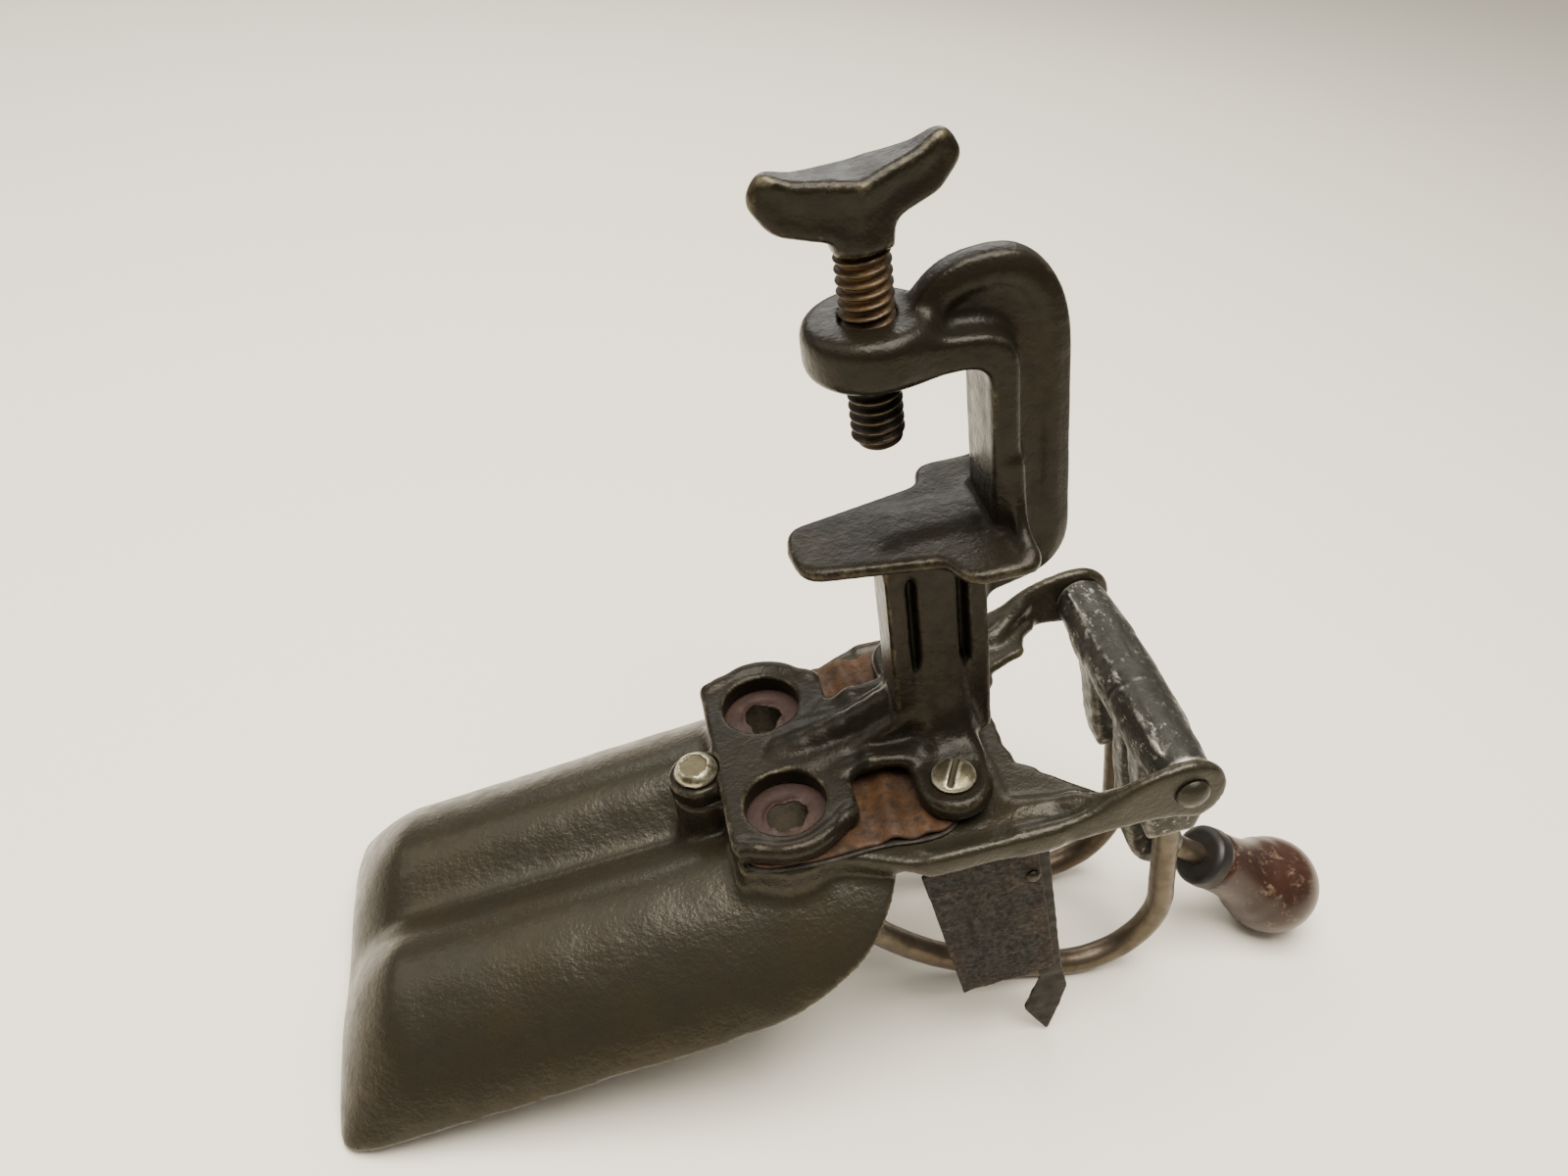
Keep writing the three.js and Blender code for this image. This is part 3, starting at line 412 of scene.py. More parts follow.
def make_piece(name, points, faces, body, node, look):
    data = bpy.data.meshes.new(name)
    data.from_pydata([tuple(p) for p in points], [], faces)
    data.validate()
    data.update()
    if signed_volume(data) < 0:
        data.flip_normals()
    data.polygons.foreach_set("use_smooth", [True] * len(data.polygons))
    piece = linked(name, data)
    data.materials.append(look)
    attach(piece, body)
    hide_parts(node)
    return piece


def signed_volume(data):
    data.calc_loop_triangles()
    co = np.zeros(len(data.vertices) * 3)
    data.vertices.foreach_get("co", co)
    co = co.reshape(-1, 3)
    corners = np.zeros(len(data.loop_triangles) * 3, np.int64)
    data.loop_triangles.foreach_get("vertices", corners)
    a, b, c = (co[corners.reshape(-1, 3)[:, i]] for i in range(3))
    return float(np.einsum("ij,ij->i", a, np.cross(b, c)).sum())


def ring_quads(rows, count):
    """Faces that join rings of points, each ring to the next."""
    quads = []
    for row in range(rows - 1):
        for i in range(count):
            a, b = row * count + i, row * count + (i + 1) % count
            quads.append((a, b, b + count, a + count))
    return quads


def tube_faces(rows, sides):
    """Faces of a tube of rings, closed by a fan round one more point at each end."""
    faces = ring_quads(rows, sides)
    for hub, base in ((rows * sides, 0), (rows * sides + 1, (rows - 1) * sides)):
        for i in range(sides):
            pair = (base + i, base + (i + 1) % sides)
            faces.append((hub, *(pair if base else pair[::-1])))
    return faces


def revolve(name, origin, way, profile, body, node, look, sides=64, wobble=0.0, seed=0):
    """A fine turned mesh from (along, radius) points that start and end on the axis."""
    way = np.array(way, float)
    side = np.cross(way, [0.0, 1.0, 0.0]) if abs(way[1]) < 0.9 else np.array([1.0, 0.0, 0.0])
    side /= np.linalg.norm(side)
    other = np.cross(way, side)
    rng = np.random.RandomState(seed)
    phase = rng.uniform(0, 6.28, 3)
    points = []
    for along, radius in profile[1:-1]:
        for i in range(sides):
            angle = 2 * math.pi * i / sides
            uneven = sum(math.sin((k + 2) * angle + phase[k] + along * 0.3) for k in range(3)) / 3
            r = radius * (1 + wobble * (uneven - 1))
            outward = side * math.cos(angle) + other * math.sin(angle)
            points.append(np.array(origin) + way * along + r * outward)
    rows = len(profile) - 2
    points += [np.array(origin) + way * end[0] for end in (profile[0], profile[-1])]
    piece = make_piece(name, Row.place(points), tube_faces(rows, sides), body, node, look)
    radii = np.array([r for _, r in profile[1:-1]])
    sharp = np.zeros(rows)
    heights = np.array([a for a, _ in profile[1:-1]])
    for i in range(1, rows - 1):
        a = math.atan2(radii[i] - radii[i - 1], heights[i] - heights[i - 1])
        b = math.atan2(radii[i + 1] - radii[i], heights[i + 1] - heights[i])
        sharp[i] = np.clip(-math.sin(b - a) * 1.2, -1, 1)
    # convex corners get a positive edge, for wear; concave ones a negative one, which iron_look paints as
    # shade
    add_values(piece, "edge", np.concatenate([np.repeat(sharp, sides), [0, 0]]))
    return piece


def rounded_profile(points, steps=4):
    """A lathe profile whose (along, radius, rounding) corners are rounded."""
    out = []
    for i, (h, r, rounding) in enumerate(points):
        if rounding <= 0 or i in (0, len(points) - 1):
            out.append((h, r))
            continue
        here = np.array([h, r], float)
        before, after = np.array(points[i - 1][:2], float), np.array(points[i + 1][:2], float)
        into, onward = before - here, after - here
        a, b = (here + way / np.linalg.norm(way) * min(rounding, np.linalg.norm(way) * 0.49)
                for way in (into, onward))
        out.extend(curve(a, here, b, steps=steps + 1))
    return out


# ---------------------------------------------------------------- materials


class Nodes:
    """A small hand for building one material's node tree. Sizes are in millimetres."""

    def __init__(self, name, metallic, specular, coat=0.0):
        self.material = bpy.data.materials.new(name)
        self.material.use_nodes = True
        self.tree = self.material.node_tree
        self.shader = self.tree.nodes["Principled BSDF"]
        self.shader.inputs["Metallic"].default_value = metallic
        self.shader.inputs["Specular IOR Level"].default_value = specular
        self.shader.inputs["Coat Weight"].default_value = coat
        place = self.new("ShaderNodeTexCoord")
        scale = self.new("ShaderNodeVectorMath", operation="SCALE")
        scale.inputs["Scale"].default_value = 1 / MM
        self.tree.links.new(place.outputs["Object"], scale.inputs[0])
        self.place = scale.outputs[0]

    def new(self, kind, **settings):
        node = self.tree.nodes.new(kind)
        for key, value in settings.items():
            setattr(node, key, value)
        return node

    def put(self, socket, value):
        if isinstance(value, bpy.types.NodeSocket):
            self.tree.links.new(value, socket)
        elif socket.type == "RGBA":
            socket.default_value = (*value, 1)
        else:
            socket.default_value = value

    def noise(self, size, detail=3.0, roughness=0.55, stretch=None):
        node = self.new("ShaderNodeTexNoise")
        node.inputs["Scale"].default_value = 1 / size
        node.inputs["Detail"].default_value = detail
        node.inputs["Roughness"].default_value = roughness
        place = self.place
        if stretch:
            mapping = self.new("ShaderNodeMapping")
            mapping.inputs["Scale"].default_value = stretch
            self.tree.links.new(place, mapping.inputs["Vector"])
            place = mapping.outputs[0]
        self.tree.links.new(place, node.inputs["Vector"])
        return node.outputs["Fac"]

    def cells(self, size):
        node = self.new("ShaderNodeTexVoronoi")
        node.inputs["Scale"].default_value = 1 / size
        self.tree.links.new(self.place, node.inputs["Vector"])
        return node.outputs["Distance"]

    def ramp(self, value, low, high, to_low=0.0, to_high=1.0):
        node = self.new("ShaderNodeMapRange", interpolation_type="SMOOTHSTEP")
        for key, number in (("From Min", low), ("From Max", high), ("To Min", to_low), ("To Max", to_high)):
            node.inputs[key].default_value = number
        self.put(node.inputs["Value"], value)
        return node.outputs["Result"]

    def math(self, operation, a, b):
        node = self.new("ShaderNodeMath", operation=operation)
        self.put(node.inputs[0], a)
        self.put(node.inputs[1], b)
        return node.outputs[0]

    def times(self, a, b):
        return self.math("MULTIPLY", a, b)

    def plus(self, a, b):
        return self.math("ADD", a, b)

    def minus(self, a, b):
        return self.math("SUBTRACT", a, b)

    def mix(self, share, a, b):
        node = self.new("ShaderNodeMix", data_type="RGBA")
        self.put(node.inputs[0], share)
        self.put(node.inputs[6], a)
        self.put(node.inputs[7], b)
        return node.outputs[2]

    def attribute(self, name):
        return self.new("ShaderNodeAttribute", attribute_name=name).outputs["Fac"]

    def bump(self, height, distance, strength=1.0, before=None):
        node = self.new("ShaderNodeBump")
        node.inputs["Strength"].default_value = strength
        node.inputs["Distance"].default_value = distance * MM
        self.put(node.inputs["Height"], height)
        if before is not None:
            self.put(node.inputs["Normal"], before)
        return node.outputs["Normal"]

    def finish(self, colour, roughness, normal):
        self.put(self.shader.inputs["Base Color"], colour)
        self.put(self.shader.inputs["Roughness"], roughness)
        self.put(self.shader.inputs["Normal"], normal)
        return self.material


RUST = (0.085, 0.046, 0.016)
SOAKED = (0.029, 0.0150, 0.0112)


def iron_look(name, body, dark, brown, bright, metallic=0.6, rough=(0.27, 0.40), grain=0.10,
              wear=(0.45, 1.15), scars=0.0, sheen=0.35):
    """Old iron or steel: a mottled body, brown bloom, painted shade in concave corners, bright worn edges and
    scars.
    """
    n = Nodes(name, metallic, sheen)
    patches = n.ramp(n.noise(24, 4), 0.40, 0.66)
    mottle = n.noise(4.5, 4, 0.6)
    fine = n.noise(1.1, 3, 0.6)
    colour = n.mix(n.times(patches, 0.6), body, brown)
    colour = n.mix(n.ramp(mottle, 0.40, 0.72, 0.0, 0.35), colour, dark)
    edge = n.attribute("edge")
    # painted shade: concave corners (edge below zero) are darkened towards the dark colour, and made rougher
    # too
    corner_shade = n.ramp(edge, -0.15, -0.8)
    colour = n.mix(n.times(corner_shade, 0.7), colour, dark)
    worn = n.plus(edge, n.times(n.minus(mottle, 0.5), 1.1))
    worn = n.plus(worn, n.times(n.minus(fine, 0.5), 0.7))
    worn = n.ramp(worn, *wear)
    if scars:
        scar = n.ramp(n.noise(2.4, 6, 0.8, stretch=(1, 0.5, 1)), 0.56, 0.62, 0.0, scars)
        scar = n.times(scar, n.ramp(n.noise(15, 2), 0.42, 0.56))
        worn = n.math("MAXIMUM", worn, scar)
    colour = n.mix(worn, colour, bright)
    rust = n.times(n.attribute("rust"), n.ramp(mottle, 0.35, 0.6, 0.45, 1.0))
    colour = n.mix(rust, colour, RUST)
    roughness = n.ramp(mottle, 0.3, 0.7, *rough)
    roughness = n.plus(roughness, n.times(corner_shade, 0.2))
    roughness = n.minus(roughness, n.times(worn, 0.08))
    coarse = n.times(n.noise(1.7, 2, 0.5), 0.65)
    height = n.plus(coarse, n.times(n.noise(0.8, 2), 0.35))
    normal = n.bump(height, grain * 2.6, 0.9)
    pits = n.ramp(n.cells(3.1), 0.0, 0.14)
    normal = n.bump(pits, 0.05, 0.5, normal)
    return n.finish(colour, roughness, normal)


def rust_look(name, body, rust, pale, metallic=0.35):
    """Thin tinned plate gone brown: blooms, pits and pale worn patches."""
    n = Nodes(name, metallic, 0.22)
    patches = n.ramp(n.noise(26, 5, 0.62), 0.44, 0.60)
    speck = n.noise(1.3, 4, 0.7)
    bloom = n.ramp(n.noise(7.5, 6, 0.75), 0.53, 0.68)
    colour = n.mix(patches, body, rust)
    colour = n.mix(n.times(bloom, 0.5), colour, pale)
    colour = n.mix(n.ramp(speck, 0.56, 0.72, 0.0, 0.7), colour, tuple(c * 0.35 for c in body))
    edge = n.ramp(n.attribute("edge"), 0.25, 1.0, 0.0, 0.6)
    colour = n.mix(edge, colour, pale)
    roughness = n.ramp(speck, 0.3, 0.7, 0.42, 0.8)
    normal = n.bump(n.plus(speck, n.times(bloom, 0.4)), 0.22, 0.8)
    return n.finish(colour, roughness, normal)


def wood_look(name):
    """Dark red-brown varnish on a turned knob, rubbed through in streaks and specks."""
    n = Nodes(name, 0.0, 0.3, coat=0.12)
    n.shader.inputs["Coat Roughness"].default_value = 0.3
    grain = n.noise(1.6, 4, 0.6, stretch=(0.18, 1.0, 0.18))
    cloud = n.ramp(n.noise(13, 3), 0.35, 0.65)
    colour = n.mix(grain, (0.018, 0.0062, 0.0036), (0.050, 0.0170, 0.0078))
    colour = n.mix(n.times(cloud, 0.6), colour, (0.015, 0.0075, 0.0055))
    streak = n.noise(0.7, 3, 0.7, stretch=(0.35, 1, 0.35))
    rub = n.plus(n.noise(5.0, 7, 0.80), n.times(streak, 0.34))
    rub = n.ramp(rub, 0.71, 0.86, 0.0, 0.6)
    colour = n.mix(rub, colour, (0.17, 0.118, 0.072))
    roughness = n.ramp(rub, 0.0, 1.0, 0.33, 0.62)
    normal = n.bump(grain, 0.10, 0.7)
    normal = n.bump(rub, -0.05, 0.7, normal)
    return n.finish(colour, roughness, normal)


def leather_look(name, body, dark, tan):
    """Old oiled leather with a fine pore, creases and darker rims."""
    n = Nodes(name, 0.0, 0.25)
    cloud = n.ramp(n.noise(11, 5, 0.6), 0.36, 0.66)
    pore = n.cells(0.75)
    crease = n.noise(3.2, 5, 0.65)
    colour = n.mix(cloud, body, tan)
    colour = n.mix(n.ramp(crease, 0.45, 0.72, 0.0, 0.75), colour, dark)
    edge = n.attribute("edge")
    colour = n.mix(n.ramp(edge, 0.2, 1.0, 0.0, 0.7), colour, dark)
    stain = n.times(n.attribute("stain"), n.ramp(cloud, 0.0, 1.0, 1.0, 0.82))
    colour = n.mix(stain, colour, SOAKED)
    roughness = n.ramp(crease, 0.3, 0.7, 0.5, 0.75)
    normal = n.bump(pore, 0.10, 0.55)
    normal = n.bump(crease, 0.35, 0.7, normal)
    return n.finish(colour, roughness, normal)


# Iron: body, dark, brown, bright. Tin: body, rust, pale. Leather: body, dark, tan. All are linear RGB.
LOOKS = {
    "tray_iron": iron_look(
        "tray_iron", (0.0275, 0.0232, 0.0142), (0.0110, 0.0093, 0.0062), (0.0340, 0.0250, 0.0130),
        (0.080, 0.066, 0.038), metallic=0.4, rough=(0.25, 0.37), wear=(0.75, 1.45), sheen=0.24),
    "bracket_iron": iron_look(
        "bracket_iron", (0.0138, 0.0117, 0.0070), (0.0050, 0.0042, 0.0030), (0.0205, 0.0140, 0.0073),
        (0.095, 0.078, 0.045), metallic=0.4, sheen=0.18),
    "sleeve": iron_look(
        "cast_sleeve", (0.035, 0.033, 0.026), (0.011, 0.010, 0.008), (0.028, 0.024, 0.018),
        (0.26, 0.24, 0.20), metallic=0.65, rough=(0.34, 0.6), grain=0.12, wear=(0.25, 0.9), scars=0.9),
    "screw": iron_look(
        "screw_steel", (0.026, 0.0205, 0.0155), (0.010, 0.0078, 0.0062), (0.044, 0.026, 0.0135),
        (0.13, 0.10, 0.056), metallic=0.75, rough=(0.30, 0.5), grain=0.06, wear=(0.45, 1.15)),
    "rod": iron_look(
        "rod_steel", (0.105, 0.085, 0.058), (0.034, 0.026, 0.019), (0.075, 0.050, 0.031),
        (0.30, 0.255, 0.175), metallic=0.75, rough=(0.28, 0.48), grain=0.05),
    "plated": iron_look(
        "plated_fastener", (0.118, 0.101, 0.058), (0.038, 0.031, 0.018), (0.092, 0.071, 0.036),
        (0.44, 0.40, 0.29), metallic=0.85, rough=(0.26, 0.5), grain=0.05, wear=(0.25, 0.9)),
    "finger": iron_look(
        "finger_steel", (0.011, 0.009, 0.0072), (0.005, 0.0041, 0.0034), (0.016, 0.0105, 0.0068),
        (0.08, 0.066, 0.046), metallic=0.4, rough=(0.38, 0.58), grain=0.05, sheen=0.15),
    "ferrule": iron_look(
        "black_ferrule", (0.020, 0.0185, 0.0165), (0.009, 0.008, 0.0075), (0.034, 0.027, 0.021),
        (0.30, 0.29, 0.265), metallic=0.5, rough=(0.30, 0.5), grain=0.04, wear=(0.45, 1.0)),
    "tin": rust_look("tin_plate", (0.0052, 0.0040, 0.0031), (0.0165, 0.0085, 0.0043), (0.050, 0.035, 0.017)),
    "wood": wood_look("turned_wood"),
    "leather": leather_look(
        "leather", (0.033, 0.0155, 0.0058), (0.0075, 0.0044, 0.0028), (0.074, 0.0335, 0.0115)),
    "backing": leather_look("backing", (0.026, 0.021, 0.016), (0.010, 0.0085, 0.007), (0.045, 0.035, 0.025)),
}


# ---------------------------------------------------------------- tray casting


def tray_rim(x):
    return -42.9 + 0.113 * (x - CUP_X)


def tray_ridge(x):
    return -12.4 + 0.1156 * (x - CUP_X)


def tray_crease(x):
    return -24.9 + 0.076 * (x - CUP_X)


def tray_section(x, rise, half_width, inset, drop):
    """The W-shaped section: a valley between two cherry channels."""
    rim = tray_rim(x)

    def lift(z):
        return rim + (z - inset - rim) * rise

    ridge, crease, outer = lift(tray_ridge(x)), lift(tray_crease(x)), half_width - inset
    valley = curve((0, crease), (5.5, crease + 0.9 * rise), (11, ridge - 0.3), (20, ridge), steps=13)
    flank = curve((20, ridge), (33 - inset, ridge), (outer - 5.5, rim + 16 * rise), (outer, rim), steps=19)
    half = valley + flank[1:]
    if drop > 0:
        half = half + [(outer, rim - drop)]
    return [(x, -y, z) for y, z in half[:0:-1]] + [(x, y, z) for y, z in half]


def tray_skin(inset, drop):
    stations, fullness = 26, 1.35
    loops = []
    for i in range(stations):
        angle = i / (stations - 1) * math.pi / 2
        x = TRAY_LEFT + 1.15 * inset + END_LEAN * (1 - math.cos(angle) ** fullness)
        rise = 0.08 + 0.92 * math.sin(angle) ** fullness
        loops.append(tray_section(x, rise, TRAY_HALF - 6 * (1 - math.sin(angle)) ** 2, inset, drop))
    for x in np.linspace(loops[-1][0][0], TRAY_RIGHT + inset, 12)[1:]:
        loops.append(tray_section(x, 1, TRAY_HALF, inset, drop))
    count = len(loops[0])
    quads = ring_quads(len(loops), count)
    for base in (0, (len(loops) - 1) * count):
        for i in range(count // 2):
            a, b, c, d = base + i, base + i + 1, base + count - 2 - i, base + count - 1 - i
            if b < c:
                quads.append((a, b, c, d))
    return skin_field([p for loop in loops for p in loop], quads)


def plate_outline(grow=0.0):
    left, right, lobe = PLATE_LEFT - grow, PLATE_RIGHT + grow, LOBE + grow
    half = PLATE_HALF + grow
    near = [(left, half - 1), (left + 1.2, half + 1.2), (left + 4, half + 1.5)]
    near += arc((CUP_X, CUP_Y), lobe, 106, 50, 12)
    near += [(right - 3.4, half - 2.0), (right - 1, half - 2.8), (right, half - 5)]
    return [(x, -y) for x, y in near] + near[::-1]


def fork_arm():
    side = curve((18, RAIL_TOP), (34, RAIL_TOP - 0.5), (42, -3.4)) + curve((42, -3.4), (51, 3.6), (62.4, 4.6))
    side += arc((64.4, -6.2), 10.8, 90, -75, 20)
    return side + curve((66, -16), (54, -12.2), (36, RAIL_BOTTOM)) + [(18, RAIL_BOTTOM)]


def tray_casting():
    clay = Clay((TRAY_LEFT, -TRAY_HALF, -62), (76, TRAY_HALF, 6), 0.95)
    block_under_plate = prism(plate_outline(-0.4), "z", (-22, SEAT_TOP), 0.7)
    clay.add(tray_skin(0, 0)).soften(1)
    clay.add(block_under_plate, blend=3.5)
    hollow = clay.blank().add(tray_skin(TRAY_WALL, 12))
    inside = np.maximum(hollow.field, clay.axes()[2] - (SEAT_TOP - 5))
    clay.field = np.maximum(clay.field, -inside).astype(np.float32)
    start = -66.0
    throat = [(start, tray_rim(start) - 22), (start, tray_rim(start) - 0.05)]
    throat += curve((start, tray_rim(start)), (-38, tray_rim(-38) + 1), (-19, -31), (-11, -13), steps=16)[1:]
    throat += [(30, -13), (30, tray_rim(start) - 22)]
    clay.cut(prism(throat, "y", (-70, 70)), blend=0.8)
    for side in (-1, 1):
        y = side * CUP_Y
        clay.add(bar((CUP_X, y, -27), (CUP_X, y, SEAT_TOP - 1), CUP_BOSS_R, 1.5), blend=3)
    clay.add(bar((BOLT_X, 0, -33), (BOLT_X, 0, SEAT_TOP + 0.5), 8.4, 0.5, 7.9), blend=3.5)
    clay.add(block((-4, 20), (-34, 34), (RAIL_BOTTOM, SEAT_TOP), 1.2), blend=2)
    rail = [(-34, 20), (-34, 33)] + curve((-30, 34), (-18, 37), (-12, RAIL_OUTER), (-4, RAIL_OUTER))
    rail += [(RAIL_RIGHT, RAIL_OUTER), (RAIL_RIGHT, RAIL_INNER), (-16, RAIL_INNER), (-16, 20)]
    rails = prism(rail, "z", (RAIL_BOTTOM, SEAT_TOP), 1.2)
    lip = block((-6, 30), (RAIL_OUTER - 3.4, RAIL_OUTER), (RAIL_BOTTOM, RAIL_TOP), 1.2)
    rebate = block((-13, 17.5), (RAIL_INNER + 1, RAIL_OUTER - 1.8), (RAIL_BOTTOM - 3, -12.3), 0.2)
    arm = prism(fork_arm(), "y", FORK_Y, 1.3)
    for flip in BOTH_SIDES:
        clay.add(flip(rails), blend=3).add(flip(lip), blend=1.5).add(flip(arm), blend=2).cut(flip(rebate))
    apron(clay)
    clay.lumps(9, 0.16, 11).lumps(3.2, 0.07, 12).soften(1)
    cup_holes(clay, CUP_BORE_LOW, 0.6)
    foot_holes(clay)
    clay.cut(bar((BOLT_X, 0, -60), (BOLT_X, 0, 5), BOLT_HOLE), bar((BOLT_X, 0, -50), (BOLT_X, 0, -33), 9))
    clay.cut(bar((PIVOT_X, -60, PIVOT_Z), (PIVOT_X, 60, PIVOT_Z), PIVOT_HOLE))
    return clay.mesh("tray_casting", "frame", "tray_body", LOOKS["tray_iron"], 1.7)


def cup_holes(clay, radius, blend=0.0):
    for side in (-1, 1):
        clay.cut(bar((CUP_X, side * CUP_Y, -40), (CUP_X, side * CUP_Y, 20), radius), blend=blend)


def foot_holes(clay):
    for side in (-1, 1):
        clay.cut(bar((FOOT_X, side * FOOT_Y, -40), (FOOT_X, side * FOOT_Y, 20), FOOT_HOLE))


def apron(clay):
    """The thin web between the fork arms, with a ragged free edge and a rib on each side."""
    lip = [(50, 36), (45.5, 33.5), (44, 27), (38, 24.5), (32.5, 22), (30, 16.5), (27.6, 13), (26.6, 6),
           (26, -1), (26.2, -9), (27, -15), (31.5, -17.5), (33, -20.5), (38, -25.5), (44, -31), (49, -36)]
    rng = np.random.RandomState(5)
    torn = [(50, 39.5)]
    for a, b in zip(lip, lip[1:]):
        for t in (0.0, 0.33, 0.66):
            wobble = rng.uniform(-0.6, 0.6, 2) * (t > 0)
            torn.append((a[0] + (b[0] - a[0]) * t + wobble[0], a[1] + (b[1] - a[1]) * t + wobble[1]))
    sheet = [(17, 39.5)] + torn + [(49, -39.5), (17, -39.5)]
    clay.add(prism(sheet[::-1], "z", (-13.0, -9.4), 1.1), blend=2.2)
    for side in (-1, 1):
        rib = [(22, side * 31, -9.6), (36, side * 34, -8.6), (46, side * 38.5, -4.5)]
        clay.add(*chain(rib, 1.7), blend=4)


# ---------------------------------------------------------------- bracket casting


def bracket_casting():
    clay = Clay((-68, -36.5, -8), (46, 36.5, 137), 0.68)
    clay.add(prism(plate_outline(), "z", (-5.5, 0), 1.0))
    clay.add(bar((BOLT_X, 0, -7.6), (BOLT_X, 0, -2), 8.1, 0.5), blend=1.5)
    clay.add(block((BOLT_X, PLATE_LEFT + 4), (-7, 7), (-5.5, -2), 0.6), blend=1)
    plate_bead(clay)
    plate_arm(clay)
    post(clay)
    feet(clay)
    jaw(clay)
    clay.lumps(8, 0.07, 21).lumps(3, 0.035, 22).soften(1)
    cup_holes(clay, CUP_BORE_HIGH, 0.9)
    foot_holes(clay)
    clay.cut(bar((BOLT_X, 0, -20), (BOLT_X, 0, 20), BOLT_HOLE), bar((BOLT_X, 0, -2), (BOLT_X, 0, 8), 6.6))
    clay.cut(bar((0, 0, BOSS_LOW - 10), (0, 0, BOSS_TOP + 10), SCREW_R + 0.08), blend=0.4)
    return clay.mesh("bracket_casting", "frame", "clamp_bracket", LOOKS["bracket_iron"], 1.5)


def plate_bead(clay):
    line = [(PLATE_LEFT + 2.6, PLATE_HALF - 1.4), (PLATE_LEFT + 6, PLATE_HALF + 0.2)]
    line += arc((CUP_X, CUP_Y), LOBE - 1.8, 104, 50, 9) + [(PLATE_RIGHT - 4.2, PLATE_HALF - 3.8),
                                                         (PLATE_RIGHT - 2.2, PLATE_HALF - 5.4)]
    for side in (-1, 1):
        clay.add(*chain([(x, side * y, -1.1) for x, y in line], 1.75), blend=1.6)


def plate_arm(clay):
    """The saddle that climbs from the plate to the post, with a soft crest and an arch under it."""
    side = curve((-34, -1), (-25, 0.8), (-15, 3.6)) + [(0, 11), (5, 11), (5, -4), (-3, -3)]
    side += curve((-3, -3), (-10, 1.0), (-18.5, -3.5)) + [(-34, -4)]
    clay.add(prism(side, "y", (-8.6, 8.6), 2.2), blend=4.5)
    crest = curve((-36, 0, -1.2), (-24, 0, 1.0), (-12, 0, 5.4), (-1, 0, 11.6), steps=7)
    clay.add(*chain(crest, 2.7), blend=3.2)
    for flip in BOTH_SIDES:
        shoulder = chain([(-21, 12.2, -1.6), (-13, 13.0, 1.2), (-2, 15.5, 1.0)], 1.7)
        clay.add(*[flip(shape) for shape in shoulder], blend=3.5)
        web = [(-20, -3.2), (-20, -0.6), (-13, 2.2), (-2, 3.0), (4, 3), (4, -3), (-3, -1.6), (-12, 0.2)]
        clay.add(flip(prism(web, "y", (3, 14), 0.9)), blend=2)


def post(clay):
    span = (FOOT_TOP - 3, PAD_TOP - 1)
    clay.add(block((-2, 21), (-3.2, 3.2), span))
    clay.add(block((-3.5, 1.8), (-8, 8), span, 2.2), block((17.4, 22.5), (-8, 8), span, 2.2), blend=2.5)
    clay.add(block((4.2, 14.8), (-7.9, 7.9), span, 4.9), blend=2.0)
    clay.add(bar((9.5, 0, -4), (9.5, 0, 6), 11.5, 3, 8.5), blend=5)


def feet(clay):
    leg = [(0, FOOT_TOP - 3), (0, 24), (6.5, 24)]
    leg += curve((6.5, 24), (8.6, 7), (18.5, FOOT_TOP - 0.3), steps=12) + [(20, FOOT_TOP - 3)]
    for flip in BOTH_SIDES:
        tongue = [(FOOT_X - 10.2, 0)] + arc((FOOT_X, FOOT_Y), 10.2, 180, 0, 17) + [(FOOT_X + 10.2, 0)]
        clay.add(flip(prism(tongue, "z", (-5.5, FOOT_TOP), 2.2)), blend=3)
        clay.add(flip(prism(leg, "x", (FOOT_X - 3.4, FOOT_X + 9.2), 3.2)), blend=5)


